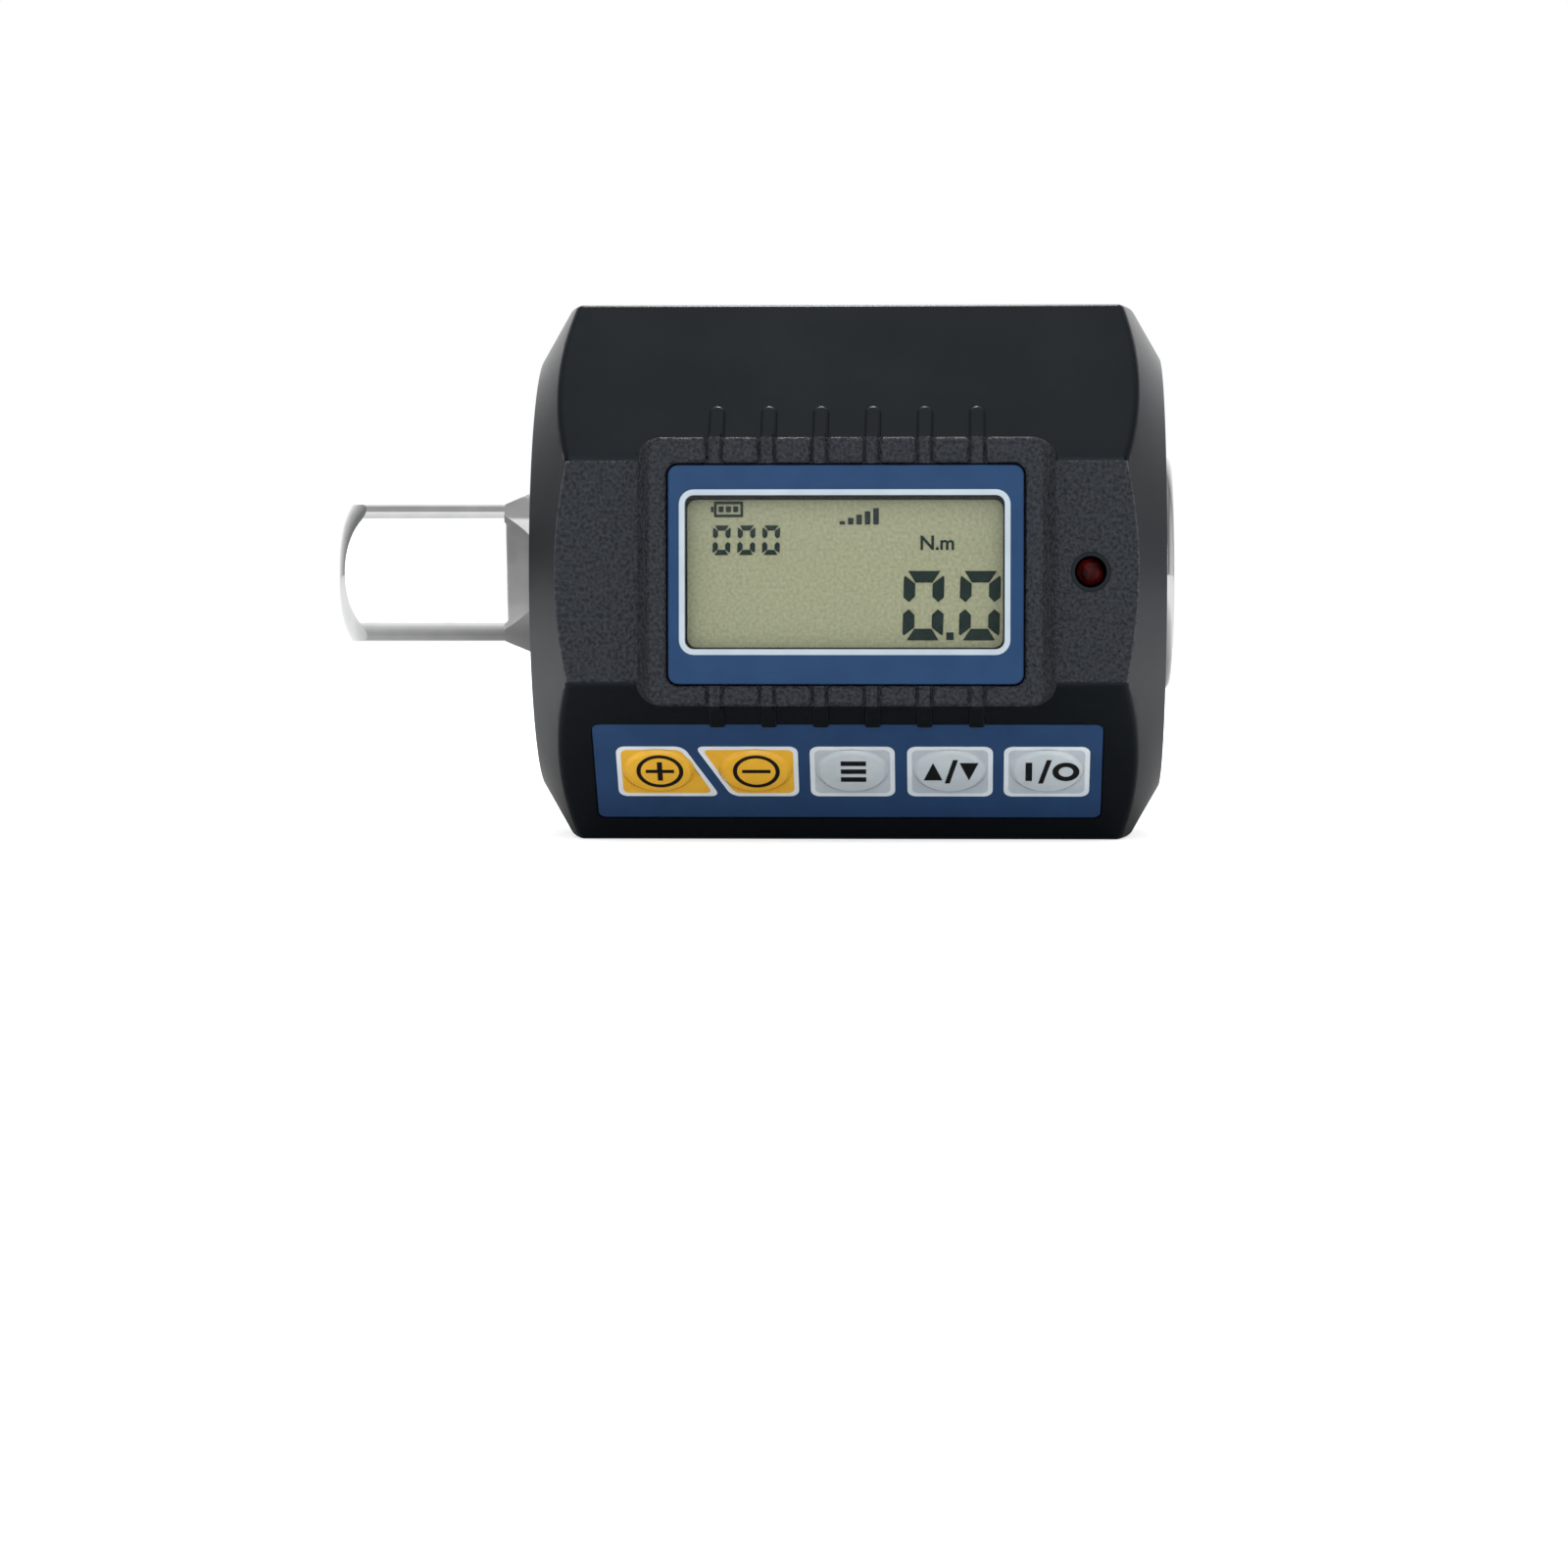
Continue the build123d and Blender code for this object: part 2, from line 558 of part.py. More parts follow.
def front_shell():
    """The front half of the casing with the display frame, the ribs and the keypad recess."""
    shell = (ENVELOPE & half_space(-1)) - CAVITY
    shell += side_field() - CAVITY
    shell += frame_block()
    for x in rib_places():
        shell += rib_on_slope(x, UPPER_FACE) + rib_on_slope(x, LOWER_FACE)
        shell += rib_over_rim(x, 1) + rib_over_rim(x, -1)
    shell += bush_seats() & half_space(-1)
    shell += saddle(-1)
    for x, z in boss_places():
        shell += rod_y(BOSS_RADIUS, -BOSS_REACH, 0, x, z) + boss_web(x, z, BOSS_RADIUS, -BOSS_REACH)
    for x, z in board_posts():
        shell += rod_y(BOARD_POST_RADIUS, -INNER_FLAT - WALL / 2, -BOARD_FACE, x, z)
    for x, drop in keypad_posts():
        shell += slanted_rod(KEYPAD_POST_RADIUS, KEYPAD_BOARD_TOP, INNER_FLAT + WALL / 4, x, drop)
    shell -= shaft_way()
    shell -= display_openings()
    shell -= slanted_plate(overlay_outline(OVERLAY_GAP), OVERLAY_BACK, FLAT + WALL)
    for x in key_places():
        shell -= slanted_plate(key_oval(x, KEY_CLEARANCE), INNER_FLAT - WALL / 4, FLAT)
    lamp_x = MID + LAMP_X
    shell -= rod_y(LAMP_RADIUS + LAMP_CLEARANCE, -FRAME_FACE, -BOARD_FACE, lamp_x)
    shell -= rod_y(LAMP_RING_RADIUS, -FRAME_FACE, -FLAT - FIELD_RISE + LAMP_RING_DEPTH, lamp_x)
    for x, z in boss_places():
        shell -= rod_y(SHELL_SCREW_RADIUS + SADDLE_GAP, SHELL_SCREW_SEAT - SHELL_SCREW_LENGTH, 0, x, z)
    for x, z in board_posts():
        shell -= rod_y(BOARD_SCREW_RADIUS + SADDLE_GAP, -BOARD_BACK - BOARD_SCREW_LENGTH, -BOARD_FACE, x, z)
    for x, drop in keypad_posts():
        tip = KEYPAD_BOARD_BOTTOM + KEYPAD_SCREW_LENGTH
        shell -= slanted_rod(KEYPAD_SCREW_RADIUS + SADDLE_GAP, KEYPAD_BOARD_TOP, tip, x, drop)
    return shell


def door_profile(gap):
    """The door's channel section as side solids: plate, two legs and two rails, grown by a running gap."""
    outer = DOOR_HALF_WIDTH + gap
    inner = DOOR_HALF_WIDTH - DOOR_LEG - gap
    foot = DOOR_RAIL_DEPTH - gap
    rail = outer + DOOR_RAIL_REACH
    points = [
        (FLAT + gap, -outer),
        (FLAT + gap, outer),
        (DOOR_RAIL_DEPTH + DOOR_RAIL_HEIGHT + gap, outer),
        (DOOR_RAIL_DEPTH + DOOR_RAIL_HEIGHT + gap, rail),
        (foot, rail),
        (foot, inner),
        (FLAT - DOOR_PLATE - gap, inner),
        (FLAT - DOOR_PLATE - gap, -inner),
        (foot, -inner),
        (foot, -rail),
        (DOOR_RAIL_DEPTH + DOOR_RAIL_HEIGHT + gap, -rail),
        (DOOR_RAIL_DEPTH + DOOR_RAIL_HEIGHT + gap, -outer),
    ]
    stop = MID + DOOR_STOP + gap
    half_length = (stop - CASE_LEFT) / 2
    return side_profile(points, half_length, CASE_LEFT + half_length)


def battery_door():
    """The sliding door over the cells, with grip grooves at the end that is pushed."""
    door = door_profile(0) & ENVELOPE
    for i in range(GRIP_COUNT):
        left = CASE_LEFT + MALE_CORNER_RADIUS + i * GRIP_PITCH
        door -= block(left, left + GRIP_WIDTH, FLAT - GRIP_DEPTH, FLAT, -GRIP_LENGTH / 2, GRIP_LENGTH / 2)
    return door


def rear_shell():
    """The rear half of the casing with the cell tray, the door's grooves and the screw wells."""
    shell = (ENVELOPE & half_space(1)) - CAVITY
    side = DOOR_HALF_WIDTH + RAIL_WALL
    tray = block(TRAY_LEFT - TRAY_WALL, TRAY_RIGHT + TRAY_WALL, TRAY_TOP - TRAY_FLOOR, FLAT, -side, side)
    shell += tray & ENVELOPE
    shell += bush_seats() & half_space(1)
    shell += saddle(1)
    for x, z in boss_places():
        shell += rod_y(HEAD_BOSS_RADIUS, 0, FLAT, x, z) & ENVELOPE
        shell += boss_web(x, z, BOSS_RADIUS, SHELL_SCREW_SEAT)
    shell -= block(TRAY_LEFT, TRAY_RIGHT, TRAY_TOP, FLAT, -TRAY_HALF_WIDTH, TRAY_HALF_WIDTH)
    shell -= door_profile(DOOR_GAP)
    shell -= shaft_way()
    groove_right = GROOVE_LEFT + GROOVE_WIDTH
    shell -= rod_x(HUB_RADIUS + HUB_CLEARANCE, HUB_ROOT - HUB_CLEARANCE, GROOVE_LEFT + SADDLE_GAP)
    shell -= rod_x(HUB_RADIUS + HUB_CLEARANCE, groove_right - SADDLE_GAP, CASE_RIGHT - END_LIP)
    for x, z in boss_places():
        shell -= rod_y(SHELL_SCREW_HEAD_RADIUS + SCREW_CLEARANCE, SHELL_SCREW_SEAT, FLAT, x, z)
        shell -= rod_y(SHELL_SCREW_RADIUS + SCREW_CLEARANCE, 0, SHELL_SCREW_SEAT, x, z)
    for side in (-1, 1):
        shell -= contact_tail(side, SADDLE_GAP)
    return shell


def bush(shaft_radius, seat_radius, left):
    """A plain bush, clamped between the shells."""
    right = left + BUSH_LENGTH
    bore = rod_x(shaft_radius + BUSH_CLEARANCE, left, right)
    return rod_x(seat_radius - BUSH_CLEARANCE, left, right) - bore


def shell_screws():
    """The four screws that clamp the shells."""
    seat = SHELL_SCREW_SEAT
    made = []
    for x, z in boss_places():
        head = rod_y(SHELL_SCREW_HEAD_RADIUS, seat, seat + SHELL_SCREW_HEAD_HEIGHT, x, z)
        made.append(head + rod_y(SHELL_SCREW_RADIUS, seat - SHELL_SCREW_LENGTH, seat, x, z))
    return Compound(children=made)


def male_nose():
    """The turned envelope of the male square: a flat tip, a rounded nose and the corner radius."""
    r = MALE_CORNER_RADIUS
    back = MALE_ROOT
    over = r - NOSE_FLAT_RADIUS
    meet = TIP + NOSE_ARC_RADIUS - sqrt(NOSE_ARC_RADIUS**2 - over**2)
    middle = NOSE_ARC_RADIUS / 2
    at_middle = TIP + NOSE_ARC_RADIUS - sqrt(NOSE_ARC_RADIUS**2 - middle**2)
    nose = ThreePointArc(
        (TIP, NOSE_FLAT_RADIUS, 0), (at_middle, NOSE_FLAT_RADIUS + middle, 0), (meet, r, 0)
    )
    rest = Polyline((meet, r, 0), (back, r, 0), (back, 0, 0), (TIP, 0, 0), (TIP, NOSE_FLAT_RADIUS, 0))
    return revolve(make_face([nose, rest]), axis=Axis.X)


def male_square():
    """The male square with softened edges, and its turned neck where the four flats run out in ramps."""
    flat = MALE_FLATS / 2
    section = Circle(MALE_CORNER_RADIUS) & Rectangle(MALE_FLATS, MALE_FLATS)
    section = fillet(section.vertices(), MALE_EDGE_ROUND)
    across = Plane(origin=(TIP, 0, 0), x_dir=(0, 1, 0), z_dir=(1, 0, 0))
    square = male_nose() & (across * extrude(section, amount=MALE_ROOT - TIP))
    ramp = (COLLAR_LEFT - MALE_ROOT) * tan(radians(RAMP_SLOPE))
    low = [(MALE_ROOT, -flat), (COLLAR_LEFT, -flat - ramp)]
    high = [(COLLAR_LEFT, flat + ramp), (MALE_ROOT, flat)]
    wedge = make_face(Polyline(*low, *high, close=True))
    reach = 2 * MALE_CORNER_RADIUS
    neck = rod_x(MALE_CORNER_RADIUS, MALE_ROOT, COLLAR_LEFT)
    neck &= extrude(Plane.XY * wedge, amount=reach, both=True)
    neck &= extrude(Plane.XZ * wedge, amount=reach, both=True)
    return square + neck


def detent_station():
    """The detent's place along the drive axis."""
    return TIP + DETENT_FROM_TIP


def ball_centre():
    """The distance of the detent ball's middle behind the drive axis."""
    return MALE_FLATS / 2 + BALL_PROUD - BALL_RADIUS


def detent_hole():
    """The blind hole of the detent, with its mouth staked in over the ball."""
    x = detent_station()
    surface = MALE_FLATS / 2
    wall = BALL_RADIUS + BALL_CLEARANCE
    mouth = sqrt(BALL_RADIUS**2 - (BALL_RADIUS - BALL_PROUD) ** 2) + BALL_CLEARANCE
    bottom = ball_centre() - BALL_RADIUS - DETENT_SPRING_SPACE
    lip = Pos(x, surface - LIP_DEPTH / 2, 0) * Rot(-90, 0, 0) * Cone(wall, mouth, LIP_DEPTH)
    return rod_y(wall, bottom, surface - LIP_DEPTH, x) + lip


def female_socket():
    """The female square with its lead-in, drill relief and the four dimples for a detent ball."""
    half = FEMALE_FLATS / 2
    square = block(-FEMALE_DEPTH, 0, -half, half, -half, half)
    mouth = Plane(origin=(0, 0, 0), x_dir=(0, 1, 0), z_dir=(1, 0, 0))
    wide = FEMALE_FLATS + 2 * FEMALE_LEAD
    inner = mouth.offset(-FEMALE_LEAD) * Rectangle(FEMALE_FLATS, FEMALE_FLATS)
    lead = loft([inner, mouth * Rectangle(wide, wide)])
    reach = half + FEMALE_DIMPLE_DEPTH
    dimples = rod_y(FEMALE_DIMPLE_DIAMETER / 2, -reach, reach, -DETENT_FROM_TIP)
    upright = Pos(-DETENT_FROM_TIP, 0, 0) * Cylinder(FEMALE_DIMPLE_DIAMETER / 2, 2 * reach)
    return square + lead + dimples + upright


def torque_shaft():
    """The steel forging: male square, neck, collar, gauge section and hub with the female square."""
    collar_right = COLLAR_LEFT + COLLAR_WIDTH
    core = rod_x(COLLAR_RADIUS, COLLAR_LEFT, collar_right)
    core += rod_x(GAUGE_RADIUS, collar_right, HUB_ROOT)
    hub = rod_x(HUB_RADIUS, HUB_ROOT, 0)
    hub = fillet(hub.edges().filter_by(GeomType.CIRCLE).sort_by(Axis.X)[-1], HUB_RIM_ROUND)
    core += hub
    corners = [
        edge
        for edge in core.edges().filter_by(GeomType.CIRCLE)
        if abs(edge.radius - GAUGE_RADIUS) < EDGE_ROUND / 2
    ]
    core = fillet(corners, SHOULDER_ROUND)
    groove_right = GROOVE_LEFT + GROOVE_WIDTH
    ring = rod_x(HUB_RADIUS + WALL, GROOVE_LEFT, groove_right)
    kept = rod_x(GROOVE_RADIUS, GROOVE_LEFT, groove_right)
    flats = GROOVE_FLATS / 2
    kept &= block(GROOVE_LEFT, groove_right, -HUB_RADIUS, HUB_RADIUS, -flats, flats)
    core -= ring - kept
    for side in (-1, 1):
        core -= gauge_flat(side)
    return core + male_square() - detent_hole() - female_socket()


def gauge_span():
    """Both ends of the gauge flats along the drive axis."""
    middle = (COLLAR_LEFT + COLLAR_WIDTH + HUB_ROOT) / 2 - FLEX_WIDTH / 2
    return middle - GAUGE_FLAT_LENGTH / 2, middle + GAUGE_FLAT_LENGTH / 2


def gauge_flat(side):
    """What is milled off the gauge section for one strain gauge."""
    left, right = gauge_span()
    level = GAUGE_RADIUS - GAUGE_FLAT_DEPTH
    return block(left, right, side * level, side * 2 * GAUGE_RADIUS, -GAUGE_RADIUS, GAUGE_RADIUS)


def strain_gauge(side):
    """A foil gauge bonded on its flat."""
    left, right = gauge_span()
    x = (left + right) / 2
    level = GAUGE_RADIUS - GAUGE_FLAT_DEPTH
    half = GAUGE_SIDE / 2
    return block(x - half, x + half, side * level, side * (level + GAUGE_THICKNESS), -half, half)


def gauge_flex():
    """The film lead: a half ring round the gauge section and a strip up to the board's connector."""
    left = gauge_span()[1] + FLEX_GAP
    right = left + FLEX_WIDTH
    inner = GAUGE_RADIUS + FLEX_GAP
    ring = rod_x(inner + FLEX_THICKNESS, left, right) - rod_x(inner, left, right)
    band = ring & block(left, right, -HUB_RADIUS, HUB_RADIUS, 0, HUB_RADIUS)
    top = BOARD_BACK - CONNECTOR_HEIGHT
    return band + block(left, right, -top, -inner - FLEX_THICKNESS / 2, 0, FLEX_THICKNESS)


def detent_spring():
    """The compression spring under the detent ball, coiled from flat wire."""
    bottom = ball_centre() - BALL_RADIUS - DETENT_SPRING_SPACE
    radius = DETENT_SPRING_RADIUS - DETENT_SPRING_WIRE / 2
    height = DETENT_SPRING_SPACE + BALL_CLEARANCE - DETENT_SPRING_WIRE
    path = Helix(height / DETENT_SPRING_TURNS, height, radius)
    wire = Rectangle(DETENT_SPRING_WIRE, DETENT_SPRING_WIRE)
    section = Plane(origin=path @ 0, x_dir=(1, 0, 0), z_dir=path % 0) * wire
    coil = sweep(section, path=path, is_frenet=True)
    return Pos(detent_station(), bottom + DETENT_SPRING_WIRE / 2, 0) * Rot(-90, 0, 0) * coil


def lens():
    """The acrylic plate in front of the display."""
    outline = RectangleRounded(LENS_WIDTH, LENS_HEIGHT, LENS_CORNER)
    return facing_plate(outline, LENS_BACK, LENS_FACE, -LENS_DROP)


def contact_strips():
    """The two rubber strips that join the LCD to the board."""
    z = DIFFUSER_HEIGHT / 2 + LCD_GAP + STRIP_HEIGHT / 2
    strip = Rectangle(DIFFUSER_WIDTH, STRIP_HEIGHT)
    places = (-z - LENS_DROP, z - LENS_DROP)
    return Compound(children=[facing_plate(strip, BOARD_FACE, LCD_BACK, place) for place in places])


def main_board():
    """The main board on its four posts."""
    outline = RectangleRounded(BOARD_LENGTH, BOARD_HEIGHT, FRAME_CORNER)
    board = facing_plate(outline, BOARD_BACK, BOARD_FACE)
    for x, z in board_posts():
        board -= rod_y(BOARD_SCREW_RADIUS + SCREW_CLEARANCE, -BOARD_FACE, -BOARD_BACK, x, z)
    return board


def board_screws():
    """The four screws that hold the main board."""
    made = []
    for x, z in board_posts():
        head = rod_y(SCREW_HEAD_RADIUS, -BOARD_BACK, -BOARD_BACK + SCREW_HEAD_HEIGHT, x, z)
        made.append(head + rod_y(BOARD_SCREW_RADIUS, -BOARD_BACK - BOARD_SCREW_LENGTH, -BOARD_BACK, x, z))
    return Compound(children=made)


def on_board(length, width, height, x, z=0):
    """A flat component on the back of the main board."""
    left = MID + x - length / 2
    return block(left, left + length, -BOARD_BACK, -BOARD_BACK + height, z - width / 2, z + width / 2)


def alarm_lamp():
    """The red lamp: a flange on the board and a round-nosed body up to the front."""
    x = MID + LAMP_X
    tip = FLAT + FIELD_RISE - LAMP_SINK
    body = rod_y(LAMP_RADIUS, -(tip - LAMP_RADIUS), -BOARD_FACE, x)
    body += Pos(x, -(tip - LAMP_RADIUS), 0) * Sphere(LAMP_RADIUS)
    return body + rod_y(LAMP_FLANGE_RADIUS, -BOARD_FACE - LAMP_FLANGE_HEIGHT, -BOARD_FACE, x)


def keypad_overlay():
    """The printed film over the keypad, with an oval window for each key."""
    film = slanted_plate(overlay_outline(), OVERLAY_BACK, OVERLAY_FACE)
    for x in key_places():
        film -= slanted_plate(key_oval(x, KEY_CLEARANCE), OVERLAY_BACK, OVERLAY_FACE)
    return film


def key(x):
    """One key: a flange behind the shell, a stem through it and an embossed oval pillow."""
    stem = slanted_plate(key_oval(x), FLANGE_BOTTOM, OVERLAY_FACE)
    flange = slanted_plate(key_oval(x, KEY_FLANGE_REACH), FLANGE_BOTTOM, FLANGE_TOP)
    pillow = slanted_plate(key_oval(x), OVERLAY_FACE, OVERLAY_FACE + KEY_PROUD)
    rim = pillow.faces().sort_by(Axis((0, 0, 0), (0, -1, -1)))[-1].edges()
    return stem + flange + chamfer(rim, KEY_SHOULDER_RISE, KEY_SHOULDER_RUN)


def snap_domes():
    """The five snap domes on the keypad board."""
    place = KEYPAD_BOARD_TOP + DOME_HEIGHT / 2
    return Compound(
        children=[
            LOWER_FACE * Pos(x, -KEY_ROW_DROP, place) * Cone(DOME_RADIUS, DOME_RADIUS / 2, DOME_HEIGHT)
            for x in key_places()
        ]
    )


def keypad_board():
    """The small board under the keys."""
    outline = Pos(KEY_ROW_CENTRE, -KEY_ROW_DROP) * RectangleRounded(
        KEYPAD_BOARD_LENGTH, KEYPAD_BOARD_WIDTH, OVERLAY_CORNER
    )
    board = slanted_plate(outline, KEYPAD_BOARD_BOTTOM, KEYPAD_BOARD_TOP)
    for x, drop in keypad_posts():
        hole = KEYPAD_SCREW_RADIUS + SCREW_CLEARANCE
        board -= slanted_rod(hole, KEYPAD_BOARD_BOTTOM, KEYPAD_BOARD_TOP, x, drop)
    return board


def keypad_screws():
    """The four screws that hold the keypad board."""
    made = []
    for x, drop in keypad_posts():
        low = KEYPAD_BOARD_BOTTOM - SCREW_HEAD_HEIGHT
        head = slanted_rod(KEYPAD_POST_RADIUS, low, KEYPAD_BOARD_BOTTOM, x, drop)
        tip = KEYPAD_BOARD_BOTTOM + KEYPAD_SCREW_LENGTH
        made.append(head + slanted_rod(KEYPAD_SCREW_RADIUS, KEYPAD_BOARD_BOTTOM, tip, x, drop))
    return Compound(children=made)


def on_slope(level, up):
    """A point of the lower slanted face's frame as (y, z)."""
    return -(level + up) / sqrt(2), -(level - up) / sqrt(2)


def strip(points, thickness, x, width):
    """A flat cable along (y, z) points, with round bends."""
    made = None
    for (y0, z0), (y1, z1) in zip(points, points[1:]):
        length = sqrt((y1 - y0) ** 2 + (z1 - z0) ** 2)
        across = ((z0 - z1) / length * thickness / 2, (y1 - y0) / length * thickness / 2)
        outline = [
            (y0 + across[0], z0 + across[1]),
            (y1 + across[0], z1 + across[1]),
            (y1 - across[0], z1 - across[1]),
            (y0 - across[0], z0 - across[1]),
        ]
        run = side_profile(outline, width / 2, x)
        bend = rod_x(thickness / 2, x - width / 2, x + width / 2, y0, z0)
        made = run if made is None else made + run + bend
    return made


def keypad_cable():
    """The flat cable from the keypad board to the main board."""
    under = KEYPAD_BOARD_BOTTOM - CABLE_THICKNESS / 2
    behind = -BOARD_BACK + CABLE_THICKNESS / 2
    low_edge = BOARD_HEIGHT / 2
    foot = KEYPAD_BOARD_WIDTH / 4
    points = [
        on_slope(under, foot - CABLE_LAP),
        on_slope(under, foot),
        (behind + CABLE_BOW, -low_edge + CABLE_LAP / 2),
        (behind, -low_edge + CABLE_LAP),
        (behind, -low_edge + 2 * CABLE_LAP),
    ]
    return strip(points, CABLE_THICKNESS, MID + CABLE_X, CABLE_WIDTH)


def cell(side):
    """One round cell with its nub; side 1 has the nub at the female end."""
    nub_end = TRAY_RIGHT - CONTACT_THICKNESS if side > 0 else TRAY_LEFT + CONTACT_THICKNESS
    shoulder = nub_end - side * CELL_NUB_LENGTH
    far = nub_end - side * CELL_LENGTH
    z = side * CELL_Z
    body = rod_x(CELL_RADIUS, far, shoulder, CELL_DEPTH, z)
    return body + rod_x(CELL_NUB_RADIUS, shoulder, nub_end, CELL_DEPTH, z)


def contact_plate(x, z, inward):
    """A flat contact plate against the tray's end wall."""
    half = CONTACT_WIDTH / 2
    return block(x, x + inward * CONTACT_THICKNESS, CELL_DEPTH - half, CELL_DEPTH + half, z - half, z + half)


def contact_leaf(x, z, inward):
    """The bent leaf that presses on a cell's flat end."""
    reach = TRAY_LENGTH - CELL_LENGTH - 2 * CONTACT_THICKNESS
    start = x + inward * CONTACT_THICKNESS
    tip = start + inward * reach
    back = tip - inward * LEAF_FOLD
    arm = CONTACT_HEIGHT / 2 - CONTACT_THICKNESS
    inner = arm - CONTACT_THICKNESS * 2
    outside = [(start, CELL_DEPTH - arm), (tip, CELL_DEPTH), (start, CELL_DEPTH + arm)]
    inside = [(start, CELL_DEPTH + inner), (back, CELL_DEPTH), (start, CELL_DEPTH - inner)]
    outline = Polyline(*outside, *inside, close=True)
    width = CELL_NUB_RADIUS
    return Pos(0, 0, z - width) * extrude(make_face(outline), amount=2 * width, dir=(0, 0, 1))


def contact_tail(side, gap=0.0):
    """The solder tail of one right-hand contact, through the tray's floor."""
    left = TRAY_RIGHT - CONTACT_THICKNESS - gap
    inner = CELL_Z + CONTACT_WIDTH / 2 - TRAY_WALL - gap
    outer = TRAY_HALF_WIDTH + gap
    low = TRAY_TOP - 2 * TRAY_FLOOR
    return block(left, TRAY_RIGHT, low, CELL_DEPTH, side * inner, side * outer)


def contact_strap():
    """The left-hand contact that joins the two cells."""
    right = TRAY_LEFT + CONTACT_THICKNESS
    low = CELL_DEPTH - CELL_NUB_RADIUS
    bridge = block(TRAY_LEFT, right, low, low + 2 * CELL_NUB_RADIUS, -CELL_Z, CELL_Z)
    plates = contact_plate(TRAY_LEFT, CELL_Z, 1) + contact_plate(TRAY_LEFT, -CELL_Z, 1)
    return bridge + plates + contact_leaf(TRAY_LEFT, CELL_Z, 1)


def plus_contact():
    """The right-hand contact under a cell's nub."""
    return contact_plate(TRAY_RIGHT, CELL_Z, -1) + contact_tail(1)


def minus_contact():
    """The right-hand contact with a leaf for a cell's flat end."""
    plate = contact_plate(TRAY_RIGHT, -CELL_Z, -1) + contact_tail(-1)
    return plate + contact_leaf(TRAY_RIGHT, -CELL_Z, -1)


def power_lead(side):
    """One insulated lead from a contact's tail past the shaft to the main board."""
    x = TRAY_RIGHT - CONTACT_THICKNESS / 2
    end_x = MID + BOARD_LENGTH / 2 - 2 * LEAD_RADIUS
    tail = TRAY_TOP - 2 * TRAY_FLOOR
    start_z = side * (TRAY_HALF_WIDTH - 2 * LEAD_RADIUS)
    past_hub = max(abs(start_z), sqrt((HUB_RADIUS + 2 * LEAD_RADIUS) ** 2 - (tail - LEAD_END) ** 2))
    end_z = side * (BOARD_HEIGHT / 2 - 2 * LEAD_RADIUS)
    points = [
        (x, tail, start_z),
        (x, tail - LEAD_END, side * past_hub),
        (x, tail / 2, side * LEAD_SPREAD),
        (x, -BOARD_BACK / 2, side * LEAD_SPREAD),
        (end_x, -BOARD_BACK + LEAD_END, end_z),
        (end_x, -BOARD_BACK, end_z),
    ]
    path = FilletPolyline(*points, radius=LEAD_BEND)
    section = Plane(origin=path @ 0, z_dir=path % 0) * Circle(LEAD_RADIUS)
    return sweep(section, path=path)


os.makedirs("parts", exist_ok=True)

PARTS = {
    "torque_shaft": torque_shaft(),
    "detent_ball": Pos(detent_station(), ball_centre(), 0) * Sphere(BALL_RADIUS),
    "detent_spring": detent_spring(),
    "front_shell": front_shell(),
    "rear_shell": rear_shell(),
    "battery_door": battery_door(),
    "shell_screws": shell_screws(),
    "male_end_bush": bush(MALE_CORNER_RADIUS, MALE_BUSH_RADIUS, CASE_LEFT + END_LIP),
    "female_end_bush": bush(HUB_RADIUS, FEMALE_BUSH_RADIUS, CASE_RIGHT - END_LIP - BUSH_LENGTH),
    "front_strain_gauge": strain_gauge(-1),
    "rear_strain_gauge": strain_gauge(1),
    "gauge_flex": gauge_flex(),
    "display_lens": lens(),
    "lcd_panel": facing_plate(Rectangle(LCD_WIDTH, LCD_HEIGHT), LCD_BACK, LCD_FACE, -LENS_DROP),
    "backlight_diffuser": facing_plate(
        Rectangle(DIFFUSER_WIDTH, DIFFUSER_HEIGHT), BOARD_FACE, LCD_BACK, -LENS_DROP
    ),
    "lcd_contact_strips": contact_strips(),
    "main_board": main_board(),
    "board_screws": board_screws(),
    "controller_chip": on_board(CONTROLLER_SIDE, CONTROLLER_SIDE, CONTROLLER_HEIGHT, CONTROLLER_X),
    "gauge_amplifier_chip": on_board(
        AMPLIFIER_LENGTH, AMPLIFIER_WIDTH, AMPLIFIER_HEIGHT, AMPLIFIER_X, AMPLIFIER_Z
    ),
    "buzzer": rod_y(BUZZER_RADIUS, -BOARD_BACK, -BOARD_BACK + BUZZER_HEIGHT, MID + BUZZER_X, BUZZER_Z),
    "gauge_connector": on_board(
        CONNECTOR_LENGTH, CONNECTOR_WIDTH, CONNECTOR_HEIGHT, gauge_span()[1] + FLEX_GAP + FLEX_WIDTH / 2 - MID
    ),
    "alarm_lamp": alarm_lamp(),
    "keypad_overlay": keypad_overlay(),
    "keypad_board": keypad_board(),
    "snap_domes": snap_domes(),
    "keypad_screws": keypad_screws(),
    "keypad_cable": keypad_cable(),
    "lower_cell": cell(-1),
    "upper_cell": cell(1),
    "cell_strap": contact_strap(),
    "plus_contact": plus_contact(),
    "minus_contact": minus_contact(),
    "plus_lead": power_lead(1),
    "minus_lead": power_lead(-1),
}
for name, x in zip(KEY_NAMES, key_places()):
    PARTS[name] = key(x)

for name, shape in PARTS.items():
    export_step(shape, f"parts/{name}.step")
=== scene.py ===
from math import cos, pi, radians
import bmesh
import bpy
from mathutils import Matrix, Vector


